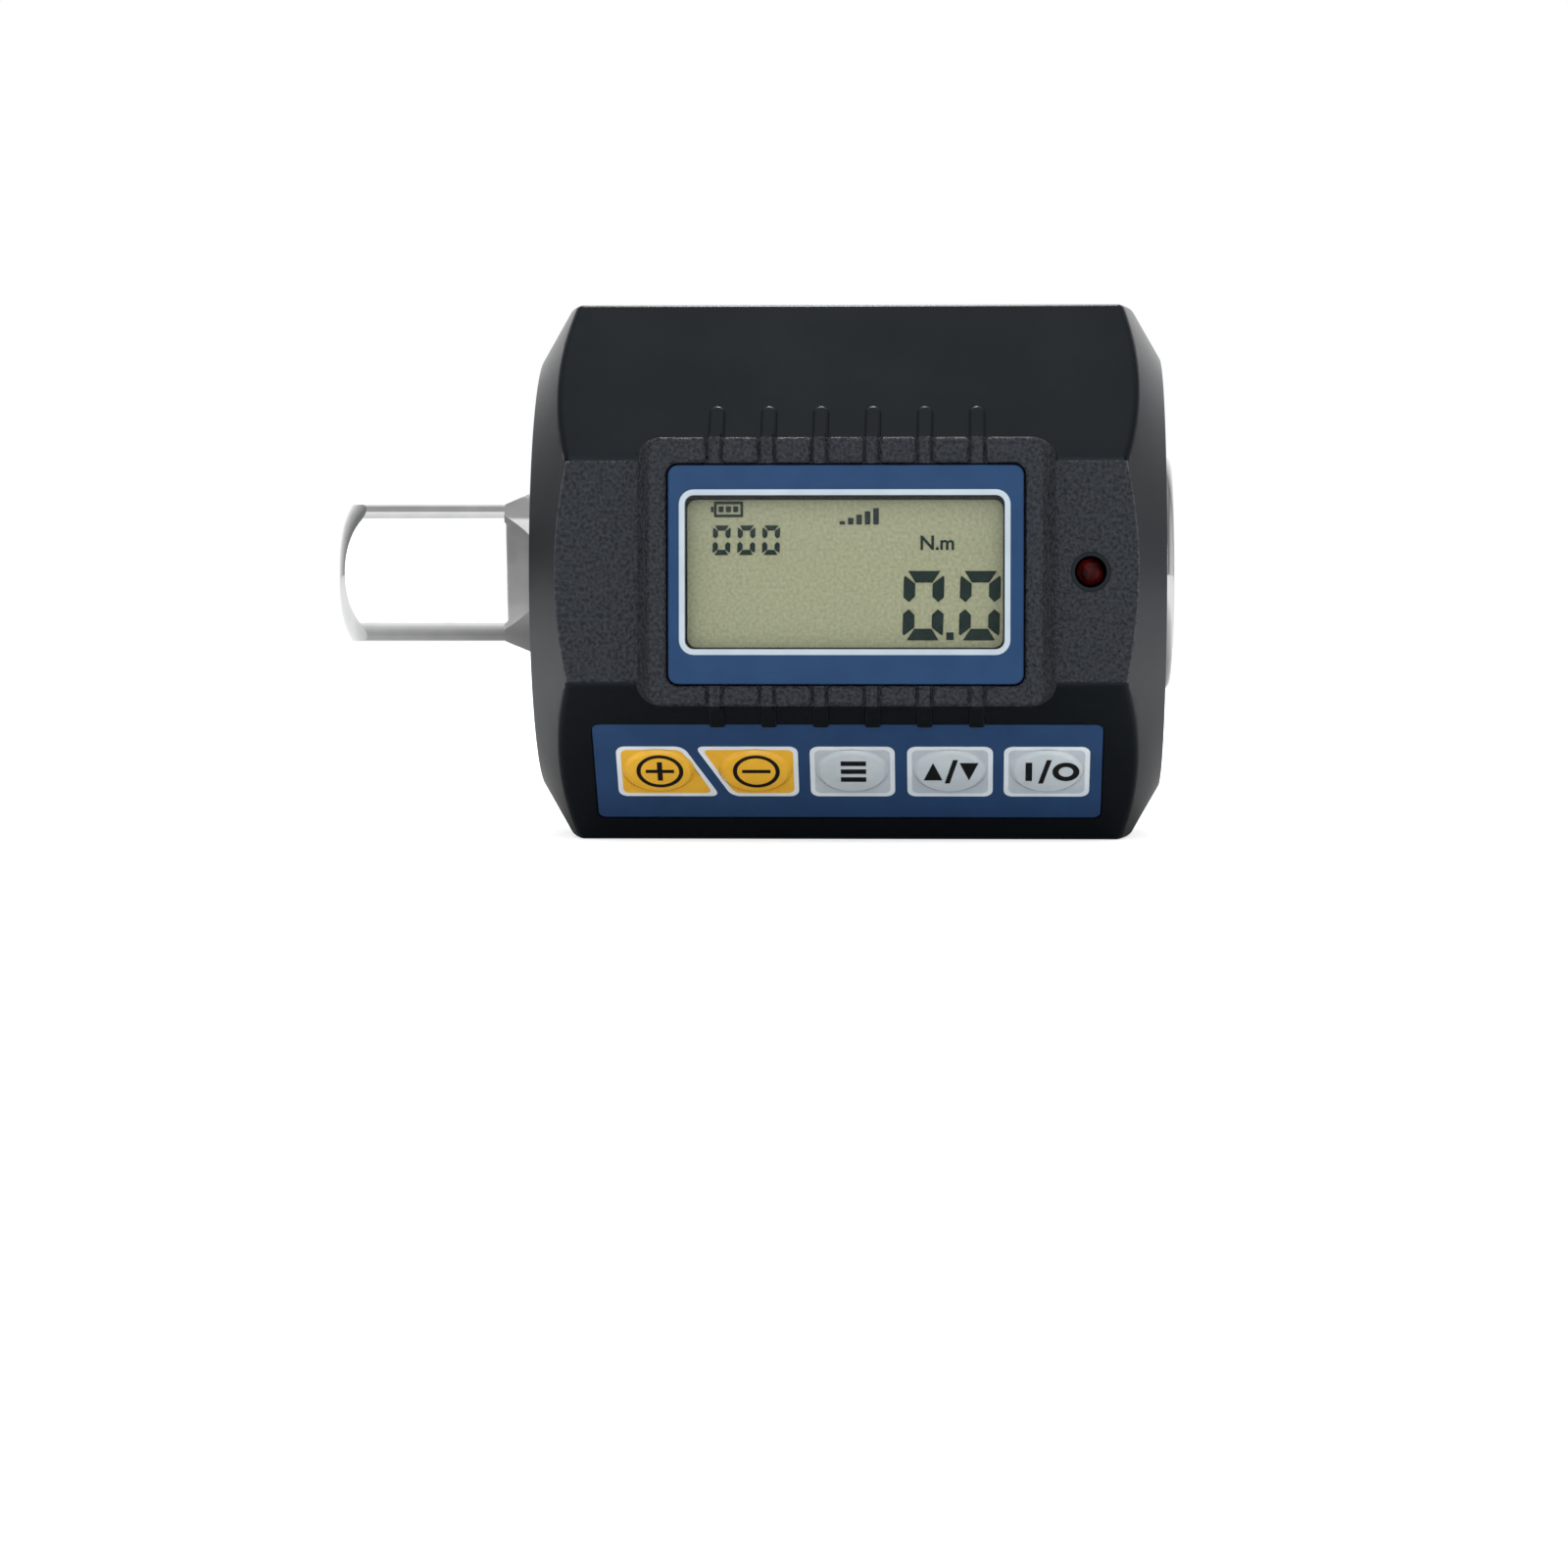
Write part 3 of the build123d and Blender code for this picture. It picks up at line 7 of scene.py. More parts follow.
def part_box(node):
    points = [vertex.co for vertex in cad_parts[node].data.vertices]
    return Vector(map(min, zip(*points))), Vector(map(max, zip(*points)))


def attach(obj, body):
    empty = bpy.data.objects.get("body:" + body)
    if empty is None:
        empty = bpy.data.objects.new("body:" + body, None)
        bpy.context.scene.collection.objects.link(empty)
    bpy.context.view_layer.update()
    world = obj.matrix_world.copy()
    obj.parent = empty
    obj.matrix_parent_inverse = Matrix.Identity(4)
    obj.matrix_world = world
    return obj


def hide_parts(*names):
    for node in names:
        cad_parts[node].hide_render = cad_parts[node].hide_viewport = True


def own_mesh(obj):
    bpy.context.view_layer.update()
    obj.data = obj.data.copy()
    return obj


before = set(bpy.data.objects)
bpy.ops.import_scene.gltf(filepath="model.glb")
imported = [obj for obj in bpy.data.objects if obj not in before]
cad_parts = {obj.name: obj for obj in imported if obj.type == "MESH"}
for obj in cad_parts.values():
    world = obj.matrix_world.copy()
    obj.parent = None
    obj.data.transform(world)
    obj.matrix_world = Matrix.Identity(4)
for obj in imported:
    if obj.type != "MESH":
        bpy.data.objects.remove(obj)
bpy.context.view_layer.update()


# Torque shaft: one forging of chrome-vanadium steel with the square drives on its ends.
# It is turned and milled, then polished and chrome-plated, and runs through the whole housing.

# Sizes are in millimetres, and MM turns them into metres. Creases are in degrees.
# Most values of a noise pattern lie between its low and its high one.
MM = 0.001
WELD = 0.002
CREASE = 27
NOISE_LOW = 0.35
NOISE_HIGH = 0.65
GLOSS_DRIFT = 0.15
DENT = 0.1


def linear(code):
    """Turns an sRGB hex colour into the linear colour that a shader takes."""
    parts = [int(code[i:i + 2], 16) / 255 for i in (1, 3, 5)]
    return [c / 12.92 if c <= 0.04045 else ((c + 0.055) / 1.055) ** 2.4 for c in parts] + [1.0]


def bare_tree(owner):
    """Turns on the nodes of a material or of the world, and returns their emptied tree."""
    owner.use_nodes = True
    owner.node_tree.nodes.clear()
    return owner.node_tree


def put(tree, kind, inputs=None, **settings):
    """Adds a shader node with its settings, and fills its inputs with values or other nodes' outputs."""
    node = tree.nodes.new("ShaderNode" + kind)
    for name, value in settings.items():
        setattr(node, name, value)
    for name, value in (inputs or {}).items():
        if isinstance(value, bpy.types.NodeSocket):
            tree.links.new(value, node.inputs[name])
        else:
            node.inputs[name].default_value = value
    return node


def surfaced(name, pale, dark, grain, roughness, bump=0.0, **shading):
    """A finish whose colour and gloss drift a little, over patches of a grain given in millimetres."""
    finish = bpy.data.materials.new(name)
    tree = bare_tree(finish)
    place = put(tree, "TexCoord").outputs["Object"]
    patches = put(tree, "TexNoise", {"Vector": place, "Scale": 1 / (grain * MM), "Detail": 3.0}).outputs[0]
    spread = put(tree, "MapRange", {0: patches, 1: NOISE_LOW, 2: NOISE_HIGH}).outputs[0]
    tint = put(tree, "Mix", {0: spread, 6: linear(dark), 7: linear(pale)}, data_type="RGBA").outputs[2]
    drift = {3: roughness * (1 - GLOSS_DRIFT), 4: roughness * (1 + GLOSS_DRIFT)}
    gloss = put(tree, "MapRange", {0: patches, **drift}).outputs[0]
    inputs = {"Base Color": tint, "Roughness": gloss}
    if bump:
        relief = put(tree, "Bump", {"Height": patches, "Strength": bump, "Distance": DENT * MM})
        inputs["Normal"] = relief.outputs["Normal"]
    for socket, value in shading.items():
        inputs[socket.replace("_", " ")] = value
    shader = put(tree, "BsdfPrincipled", inputs)
    put(tree, "OutputMaterial", {"Surface": shader.outputs[0]})
    return finish


def creased(shape, angle):
    """Makes a bmesh smooth over soft edges and sharp over hard ones."""
    for face in shape.faces:
        face.smooth = True
    for edge in shape.edges:
        edge.smooth = edge.is_manifold and edge.calc_face_angle() < radians(angle)


def added(name, data):
    """Puts a mesh, a lettering, a light or a camera into the scene as an object."""
    thing = bpy.data.objects.new(name, data)
    bpy.context.scene.collection.objects.link(thing)
    return thing


def merged_copy(node, name, crease=CREASE):
    """A copy of a CAD node with its triangles joined."""
    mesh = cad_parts[node].data.copy()
    shape = bmesh.new()
    shape.from_mesh(mesh)
    bmesh.ops.remove_doubles(shape, verts=shape.verts, dist=WELD * MM)
    creased(shape, crease)
    shape.to_mesh(mesh)
    shape.free()
    piece = added(name, mesh)
    even = piece.modifiers.new("even shading", "WEIGHTED_NORMAL")
    even.keep_sharp = True
    return piece


def dressed(piece, finish, body, slot, *nodes):
    """Gives a piece its material and its body, and hides the CAD nodes that it stands for; its slot is not
    used.
    """
    piece.data.materials.clear()
    piece.data.materials.append(finish)
    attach(piece, body)
    if nodes:
        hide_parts(*nodes)


# Chrome plate over polished steel is mirror-bright, and its gloss drifts a little from the polishing wheel.
chrome = surfaced("chrome_plate", "#e6e6e7", "#dedfe0", grain=2.0, roughness=0.1, Metallic=1.0)
dressed(merged_copy("torque_shaft", "polished_shaft"), chrome, "casing", "drive_steel", "torque_shaft")


# Detent ball and its spring: a hardened steel ball, held in the male square by a staked lip.
# The ball is ground and left bare, and the spring is coiled from plain flat wire.
COIL_CREASE = 60

# Ground steel is bright and neutral, and a little duller than plated steel.
bearing_steel = surfaced(
    "ground_bearing_steel", "#c8c8ca", "#b9babc", grain=0.3, roughness=0.2, Metallic=1.0)
ball = merged_copy("detent_ball", "steel_ball")
dressed(ball, bearing_steel, "detent_ball", "spring_steel", "detent_ball")
coil = merged_copy("detent_spring", "wire_coil", crease=COIL_CREASE)
dressed(coil, bearing_steel, "casing", "spring_steel", "detent_spring")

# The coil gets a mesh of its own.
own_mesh(coil)


# End bushes: two plain rings, turned from natural acetal and clamped between the shells.
# They carry the housing on the shaft at both ends. Turned acetal is milky white with a waxy gloss.
acetal = surfaced("natural_acetal", "#e2dfd5", "#d6d2c6", grain=1.5, roughness=0.42, IOR=1.48)
for node in ("male_end_bush", "female_end_bush"):
    dressed(merged_copy(node, "acetal_" + node), acetal, "casing", "bushes", node)


# Strain gauges and their lead: etched foil on polyimide film, bonded to flats of the shaft.
# The lead joins both gauges to the board. The film is amber brown and smooth, with an even gloss.
polyimide = surfaced("amber_polyimide_film", "#c98a3a", "#a8641c", grain=0.8, roughness=0.3, IOR=1.7)
for node in ("front_strain_gauge", "rear_strain_gauge", "gauge_flex"):
    dressed(merged_copy(node, "film_" + node), polyimide, "casing", "gauge_film", node)


# Front shell: one half of the housing, injection-moulded in black ABS with the display frame and the ribs.
# The mould is polished to a satin on the facets, and etched to a leather grain on the frame and fields.
# The pebbles of the grain are about a third of a millimetre across.
FLAT_LEVEL = 24.5
FIELD_STEP = 0.05
FRAME_HALF_HEIGHT = 11.92
LEATHER_GRAIN = 0.34
LEATHER_DEPTH = 0.4
LEATHER_GLOSS = 0.36


def moulded_abs(name, grained):
    """Black ABS from a satin mould, with leather grain on what stands above the front flat if grained.

    Its carbon pigment leaves the gloss a little blue.
    """
    finish = surfaced(
        name, "#0a0e12", "#080c10", grain=8.0, roughness=0.26,
        IOR=1.5, Specular_IOR_Level=0.38, Specular_Tint=linear("#cfe0ee"))
    if not grained:
        return finish
    tree = finish.node_tree
    shader = next(node for node in tree.nodes if node.type == "BSDF_PRINCIPLED")
    satin = shader.inputs["Base Color"].links[0].from_socket
    polish = shader.inputs["Roughness"].links[0].from_socket
    place = put(tree, "TexCoord").outputs["Object"]
    axes = put(tree, "SeparateXYZ", {0: place})
    front = -(FLAT_LEVEL + FIELD_STEP) * MM
    proud = put(tree, "Math", {0: axes.outputs["Y"], 1: front}, operation="LESS_THAN").outputs[0]
    off_middle = put(tree, "Math", {0: axes.outputs["Z"]}, operation="ABSOLUTE").outputs[0]
    frame_edge = FRAME_HALF_HEIGHT * MM
    in_frame = put(tree, "Math", {0: off_middle, 1: frame_edge}, operation="LESS_THAN").outputs[0]
    raised = put(tree, "Math", {0: proud, 1: in_frame}, operation="MULTIPLY")
    pebbles = put(tree, "TexNoise", {"Vector": place, "Scale": 1 / (LEATHER_GRAIN * MM), "Detail": 3.0})
    tops = put(tree, "MapRange", {0: pebbles.outputs[0], 1: NOISE_LOW, 2: NOISE_HIGH}).outputs[0]
    grain = put(tree, "Mix", {0: tops, 6: linear("#1d1f23"), 7: linear("#37383d")}, data_type="RGBA")
    tint = put(tree, "Mix", {0: raised.outputs[0], 6: satin, 7: grain.outputs[2]}, data_type="RGBA")
    gloss = put(tree, "Mix", {0: raised.outputs[0], 2: polish, 3: LEATHER_GLOSS}, data_type="FLOAT")
    height = put(tree, "Math", {0: pebbles.outputs[0], 1: raised.outputs[0]}, operation="MULTIPLY")
    depth = LEATHER_DEPTH * MM
    relief = put(tree, "Bump", {"Height": height.outputs[0], "Strength": 1.0, "Distance": depth})
    tree.links.new(tint.outputs[2], shader.inputs["Base Color"])
    tree.links.new(gloss.outputs[0], shader.inputs["Roughness"])
    tree.links.new(relief.outputs["Normal"], shader.inputs["Normal"])
    return finish


grained_abs = moulded_abs("black_abs_with_leather_grain", True)
dressed(merged_copy("front_shell", "moulded_front_shell"), grained_abs, "casing", "housing", "front_shell")


# Display lens: a laser-cut acrylic plate, glued into the frame and printed blue and white round its window.
# Ink hides all that it covers, so the inked border is built as a solid ring and the window as a clear pane.
DISPLAY_X = -29.75 * MM
DISPLAY = Matrix.Translation((DISPLAY_X, 0, 0)) @ Matrix.Rotation(radians(90), 4, "X")
LENS_LEVEL = 24.8
LENS_THICKNESS = 1.5
LENS_CORNER = 0.9
LENS_EDGE = 0.15
RIM_BEYOND_X = 15
RIM_BEYOND_Z = 8
SQUARE_EDGE = 1
TOUCHING = 1e-7
CORNER_STEPS = 6
PANE_THICKNESS = 0.38
PANE_SEAT = 0.4
WHITE_LEFT = -14.76
WHITE_RIGHT = 14.56
WHITE_TOP = 7.28
WHITE_BOTTOM = -7.35
WHITE_LINE = 0.5
WHITE_CORNER = 1.3


def corners_of(left, right, low, high):
    """The four corners of an upright rectangle, in turn."""
    return [(left, low), (right, low), (right, high), (left, high)]


def adopted(shape, part):
    """Moves one bmesh into another, and returns the new edges."""
    before = len(shape.edges)
    mesh = bpy.data.meshes.new("part")
    part.to_mesh(mesh)
    part.free()
    shape.from_mesh(mesh)
    bpy.data.meshes.remove(mesh)
    shape.edges.ensure_lookup_table()
    return shape.edges[before:]


def ring_of(shape, corners, rounding, level, steps=CORNER_STEPS):
    """Adds an outline with rounded corners, in millimetres, and returns its edges."""
    part = bmesh.new()
    verts = [part.verts.new((x * MM, y * MM, level * MM)) for x, y in corners]
    part.faces.new(verts)
    if rounding:
        bmesh.ops.bevel(
            part, geom=verts, affect="VERTICES", offset=rounding * MM,
            segments=steps, profile=0.5, material=-1)
    bmesh.ops.delete(part, geom=part.faces[:], context="FACES_KEEP_BOUNDARY")
    return adopted(shape, part)


def filled(shape, edges, thickness):
    """Fills outlines, with those inside as holes, and raises the face to a solid plate."""
    made = bmesh.ops.triangle_fill(shape, use_beauty=True, edges=edges, normal=(0, 0, 1))
    faces = [part for part in made["geom"] if isinstance(part, bmesh.types.BMFace)]
    lifted = bmesh.ops.extrude_face_region(shape, geom=faces)
    verts = [part for part in lifted["geom"] if isinstance(part, bmesh.types.BMVert)]
    bmesh.ops.translate(shape, verts=verts, vec=(0, 0, thickness * MM))


def piece_of(shape, name, place):
    """Lays a bmesh in its place and makes it a piece with its faces pointing outwards."""
    bmesh.ops.transform(shape, matrix=place, verts=shape.verts)
    bmesh.ops.recalc_face_normals(shape, faces=shape.faces)
    mesh = bpy.data.meshes.new(name)
    shape.to_mesh(mesh)
    shape.free()
    return added(name, mesh)


low_corner, high_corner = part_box("display_lens")
lens_half = (high_corner.x - low_corner.x) / 2 / MM
lens_low = low_corner.z / MM
lens_high = high_corner.z / MM
white_edge = corners_of(WHITE_LEFT, WHITE_RIGHT, WHITE_BOTTOM, WHITE_TOP)
window = corners_of(
    WHITE_LEFT + WHITE_LINE, WHITE_RIGHT - WHITE_LINE, WHITE_BOTTOM + WHITE_LINE, WHITE_TOP - WHITE_LINE)

border = bmesh.new()
edges = ring_of(border, corners_of(-lens_half, lens_half, lens_low, lens_high), LENS_CORNER, LENS_LEVEL)
edges += ring_of(border, white_edge, WHITE_CORNER, LENS_LEVEL)
filled(border, edges, LENS_THICKNESS)
lens_face = (LENS_LEVEL + LENS_THICKNESS) * MM


def on_face_rim(vert):
    """Whether a corner point of the border lies on the outer edge of its face."""
    outside = abs(vert.co.x) > RIM_BEYOND_X * MM or abs(vert.co.y) > RIM_BEYOND_Z * MM
    return outside and abs(vert.co.z - lens_face) < TOUCHING


rim = [
    edge for edge in border.edges
    if all(on_face_rim(vert) for vert in edge.verts) and edge.calc_face_angle() > SQUARE_EDGE
]
bmesh.ops.bevel(
    border, geom=rim, affect="EDGES", offset=LENS_EDGE * MM, segments=2, profile=0.5, material=-1)

# Ink behind acrylic is an even, deep colour, and the plate lays a faint smooth gloss over it.
blue_ink = surfaced(
    "blue_ink_under_acrylic", "#284469", "#264165", grain=3.0, roughness=0.16,
    IOR=1.49, Specular_IOR_Level=0.12)
dressed(piece_of(border, "inked_lens_border", DISPLAY), blue_ink, "casing", "lens", "display_lens")

line = bmesh.new()
edges = ring_of(line, white_edge, WHITE_CORNER, LENS_LEVEL)
edges += ring_of(line, window, WHITE_CORNER - WHITE_LINE, LENS_LEVEL)
filled(line, edges, LENS_THICKNESS)
white_ink = surfaced(
    "white_ink_under_acrylic", "#b9c6cf", "#b1bec8", grain=3.0, roughness=0.16,
    IOR=1.49, Specular_IOR_Level=0.12)
dressed(piece_of(line, "white_window_line", DISPLAY), white_ink, "casing", "lens")


HAZE = 4.0
POLISH = 0.03
POLISH_WORN = 0.06
ANTI_GLARE = 0.3


def clear_acrylic(name):
    """Clear acrylic with an anti-glare coat, whose faint reflection grows at a slant."""
    finish = bpy.data.materials.new(name)
    tree = bare_tree(finish)
    place = put(tree, "TexCoord").outputs["Object"]
    haze = put(tree, "TexNoise", {"Vector": place, "Scale": 1 / (HAZE * MM), "Detail": 2.0}).outputs[0]
    polish = put(tree, "MapRange", {0: haze, 3: POLISH, 4: POLISH_WORN}).outputs[0]
    shine = put(tree, "BsdfGlossy", {"Color": linear("#ffffff"), "Roughness": polish})
    through = put(tree, "BsdfTransparent", {"Color": linear("#fafcfb")})
    slant = put(tree, "Fresnel", {"IOR": 1.49}).outputs[0]
    coated = put(tree, "Math", {0: slant, 1: ANTI_GLARE}, operation="MULTIPLY").outputs[0]
    both = put(tree, "MixShader", {0: coated, 1: through.outputs[0], 2: shine.outputs[0]})
    put(tree, "OutputMaterial", {"Surface": both.outputs[0]})
    return finish


pane = bmesh.new()
edges = ring_of(pane, window, WHITE_CORNER - WHITE_LINE, LENS_LEVEL + LENS_THICKNESS - PANE_SEAT)
filled(pane, edges, PANE_THICKNESS)
dressed(piece_of(pane, "clear_window_pane", DISPLAY), clear_acrylic("clear_acrylic"), "casing", "lens")


# Gasket: closed-cell foam, die-cut and stuck behind the lens to keep dust off the display.
# It is matt and nearly black, and shows as a thin dark line inside the window: partly its own black and
# partly painted shade of the gap behind the window, with a wider band of painted shade along the top.
GASKET_SIDE = 0.13
# The top band is wider than the sides, as painted shade that the lens border casts on the display.
PAINTED_SHADE_TOP = 0.4
GASKET_LOW = 24.07
GASKET_GAP = 0.02
GASKET_THICKNESS = LENS_LEVEL - GASKET_GAP - GASKET_LOW
gasket_hole = corners_of(
    WHITE_LEFT + WHITE_LINE + GASKET_SIDE, WHITE_RIGHT - WHITE_LINE - GASKET_SIDE,
    WHITE_BOTTOM + WHITE_LINE + GASKET_SIDE, WHITE_TOP - WHITE_LINE - PAINTED_SHADE_TOP)
gasket_and_shade = bmesh.new()
edges = ring_of(gasket_and_shade, white_edge, WHITE_CORNER, GASKET_LOW)
edges += ring_of(gasket_and_shade, gasket_hole, WHITE_CORNER - WHITE_LINE, GASKET_LOW)
filled(gasket_and_shade, edges, GASKET_THICKNESS)
# Its near black is partly the foam's own colour and partly painted shade of the gap behind the window.
foam_and_shade = surfaced(
    "black_foam_and_painted_shade", "#1d2022", "#141618", grain=0.2, roughness=0.6,
    IOR=1.5, Specular_IOR_Level=0.2)
dressed(piece_of(gasket_and_shade, "gasket_and_painted_shade", DISPLAY), foam_and_shade, "casing", "lens")


# Liquid crystal display: two sheets of glass over a grey-green reflector, with its marks in the crystal.
# The marks are thin plates on its face, and only plain figures, a unit and level signs are lit.
LCD_LEVEL = 24.0
MARK = 0.06
SLANT = 0.025

# A zero is given by its width, height and bar, and a box by its left, right, low and high edge.
LARGE_ZERO = (3.6, 6.16, 1.03)
LARGE_ZERO_LEFTS = (4.99, 10.0)
LARGE_ZERO_LOW = -6.08
POINT = (8.9, 9.55, -6.04, -5.37)
SMALL_ZERO = (1.57, 2.63, 0.46)
SMALL_ZERO_LEFTS = (-11.9, -9.7, -7.5)
SMALL_ZERO_LOW = 1.5
BATTERY_OUTSIDE = (-11.77, -9.16, 4.85, 6.25)
BATTERY_INSIDE = (-11.52, -9.41, 5.1, 6.0)
BATTERY_TIP = (-12.04, -11.8, 5.3, 5.8)
BATTERY_CORNER = 0.1
BATTERY_INNER_CORNER = 0.05
CHARGE_LEFTS = (-11.35, -10.7, -10.05)
CHARGE_WIDTH = 0.45
CHARGE_LOW = 5.3
CHARGE_HIGH = 5.82
LEVEL_BARS = 5
LEVEL_LEFT = -0.6
LEVEL_PITCH = 0.75
LEVEL_WIDTH = 0.5
LEVEL_LOW = 4.2
LEVEL_FIRST_HIGH = 4.5
LEVEL_RISE = 0.29
UNIT = "N.m"
UNIT_LEFT = 6.6
UNIT_LOW = 1.98
UNIT_HEIGHT = 1.25
UNIT_BOLDNESS = 0.02
LETTER_DEPTH = 0.01


# The reflector behind the crystal is a fine-grained grey-green that hardly shines.
lcd_glass = surfaced(
    "lcd_reflector", "#b4b195", "#a19f83", grain=0.3, roughness=0.35, IOR=1.5, Specular_IOR_Level=0.1)
dressed(merged_copy("lcd_panel", "lcd_glass"), lcd_glass, "casing", "lcd", "lcd_panel")


def zero_segments(width, height, bar):
    """The six lit bars of a seven-bar zero, as outlines in its own cell."""
    middle = height / 2
    top = [
        (0.36 * bar, height), (bar, height - bar),
        (width - bar, height - bar), (width - 0.36 * bar, height)]
    side = [
        (0.1 * bar, height - 0.4 * bar), (0, height - 0.6 * bar), (0, middle + 0.7 * bar),
        (0.5 * bar, middle + 0.3 * bar), (bar, middle + 0.8 * bar), (bar, height - 1.1 * bar)]
    upper = [top, side, [(width - x, y) for x, y in side]]
    return upper + [[(x, height - y) for x, y in outline] for outline in upper]


def mark_plate(shape, corners, level, thickness):
    """Adds a thin plate with the given corners."""
    filled(shape, ring_of(shape, corners, 0, level), thickness)


def zero_at(shape, left, low, width, height, bar):
    """Adds a slanted seven-bar zero."""
    for outline in zero_segments(width, height, bar):
        mark_plate(shape, [(left + x + y * SLANT, low + y) for x, y in outline], LCD_LEVEL, MARK)


def lettering(shape, text, left, low, height):
    """Adds plain bold letters as thin plates on the display, with the given capital height."""
    curve = bpy.data.curves.new(text, "FONT")
    curve.body = text
    curve.extrude = LETTER_DEPTH
    curve.offset = UNIT_BOLDNESS
    words = added(text, curve)
    mesh = bpy.data.meshes.new_from_object(words)
    bpy.data.objects.remove(words)
    tall = max(v.co.y for v in mesh.vertices)
    start = min(v.co.x for v in mesh.vertices)
    size = height / tall
    lift = Matrix.Translation((-start, 0, LETTER_DEPTH))
    mesh.transform(Matrix.Diagonal((size, size, MARK / (2 * LETTER_DEPTH), 1)) @ lift)
    mesh.transform(Matrix.Translation((left * MM, low * MM, LCD_LEVEL * MM)) @ Matrix.Scale(MM, 4))
    shape.from_mesh(mesh)
    bpy.data.meshes.remove(mesh)


marks = bmesh.new()
for left in LARGE_ZERO_LEFTS:
    zero_at(marks, left, LARGE_ZERO_LOW, *LARGE_ZERO)
mark_plate(marks, corners_of(*POINT), LCD_LEVEL, MARK)
for left in SMALL_ZERO_LEFTS:
    zero_at(marks, left, SMALL_ZERO_LOW, *SMALL_ZERO)
case = ring_of(marks, corners_of(*BATTERY_OUTSIDE), BATTERY_CORNER, LCD_LEVEL, steps=2)
case += ring_of(marks, corners_of(*BATTERY_INSIDE), BATTERY_INNER_CORNER, LCD_LEVEL, steps=2)
filled(marks, case, MARK)
mark_plate(marks, corners_of(*BATTERY_TIP), LCD_LEVEL, MARK)
for left in CHARGE_LEFTS:
    mark_plate(marks, corners_of(left, left + CHARGE_WIDTH, CHARGE_LOW, CHARGE_HIGH), LCD_LEVEL, MARK)
for i in range(LEVEL_BARS):
    left = LEVEL_LEFT + i * LEVEL_PITCH
    high = LEVEL_FIRST_HIGH + i * LEVEL_RISE
    mark_plate(marks, corners_of(left, left + LEVEL_WIDTH, LEVEL_LOW, high), LCD_LEVEL, MARK)
lettering(marks, UNIT, UNIT_LEFT, UNIT_LOW, UNIT_HEIGHT)

# Lit crystal turns nearly black, and keeps a little of the reflector's green.
lit_crystal = surfaced(
    "lit_crystal", "#263432", "#22302e", grain=1.0, roughness=0.35, IOR=1.5, Specular_IOR_Level=0.1)
dressed(piece_of(marks, "display_marks", DISPLAY), lit_crystal, "casing", "lcd")


# Diffuser and contact strips: a milky acrylic block behind the display, and strips of silicone rubber.
# All three are pressed between the display and the board.
# Acrylic filled with white pigment is even and milky, with a soft gloss.
milky_acrylic = surfaced("milky_acrylic", "#f0efe9", "#e8e7e0", grain=3.0, roughness=0.35, IOR=1.49)
diffuser = merged_copy("backlight_diffuser", "milky_diffuser")
dressed(diffuser, milky_acrylic, "casing", "diffuser", "backlight_diffuser")

# The rubber's pale and carbon-black layers are thinner than a pixel, and are drawn as matt specks.
silicone = surfaced("zebra_silicone", "#d8cfc4", "#3a3634", grain=0.15, roughness=0.6, IOR=1.41)
strips = merged_copy("lcd_contact_strips", "rubber_strips")
dressed(strips, silicone, "casing", "contact_rubber", "lcd_contact_strips")


# Boards and what is soldered on them: glass-epoxy under green lacquer, with chips, connector and buzzer.
# The boards are screwed to posts of the front shell.
# The lacquer is a deep clear green over copper, and smooth.
solder_mask = surfaced("green_solder_lacquer", "#1f6b3c", "#185a31", grain=1.2, roughness=0.3, IOR=1.5)
for node in ("main_board", "keypad_board"):
    dressed(merged_copy(node, "lacquered_" + node), solder_mask, "casing", "board", node)

# Moulded epoxy is dull and black, with the fine grain of its filler.
chip_epoxy = surfaced("chip_epoxy", "#26272a", "#1c1d1f", grain=0.2, roughness=0.55, bump=0.3, IOR=1.55)
for node in ("controller_chip", "gauge_amplifier_chip", "buzzer"):
    dressed(merged_copy(node, "epoxy_" + node), chip_epoxy, "casing", "chip", node)

# Natural nylon is cream-coloured, with a soft gloss.
nylon = surfaced("cream_nylon", "#e9e3d2", "#ddd6c3", grain=1.0, roughness=0.4, IOR=1.53)
dressed(merged_copy("gauge_connector", "nylon_connector"), nylon, "casing", "connector", "gauge_connector")


# Alarm lamp: a red light-emitting diode cast in clear red epoxy, soldered on the main board.
# Unlit and deep in its ring it looks almost black, with a red glint.
red_epoxy = surfaced(
    "red_cast_epoxy", "#42080a", "#120304", grain=0.9, roughness=0.25, IOR=1.55, Specular_IOR_Level=0.1)
dressed(merged_copy("alarm_lamp", "red_lamp"), red_epoxy, "casing", "lamp", "alarm_lamp")


# Keypad overlay: a polyester film printed on its back in blue, white and yellow, glued into its recess.
# Each key has a printed field, and an oval window for its pillow.
KEYPAD = Matrix.Translation((DISPLAY_X, 0, 0)) @ Matrix.Rotation(radians(135), 4, "X")
OVERLAY_LEVEL = 24.4
PRINT = 0.03
MIDDLE_KEY = 2
KEY_CENTRE_X = 0.4
KEY_PITCH = 8.8
KEY_CENTRE_UP = -0.95
KEY_HALF_LENGTH = 3.3
KEY_HALF_WIDTH = 2.8
WINDOW_GAP = 0.015
FIELD_CORNER = 0.8
FIELD_LINE = 0.42
FIELD_HIGH = 2.18
FIELD_LOW = -4.4
YELLOW_KEYS = 2
OVAL_STEPS = 48


def key_middle(number):
    """The middle of a key along the overlay, counted from the left."""
    return KEY_CENTRE_X + (number - MIDDLE_KEY) * KEY_PITCH


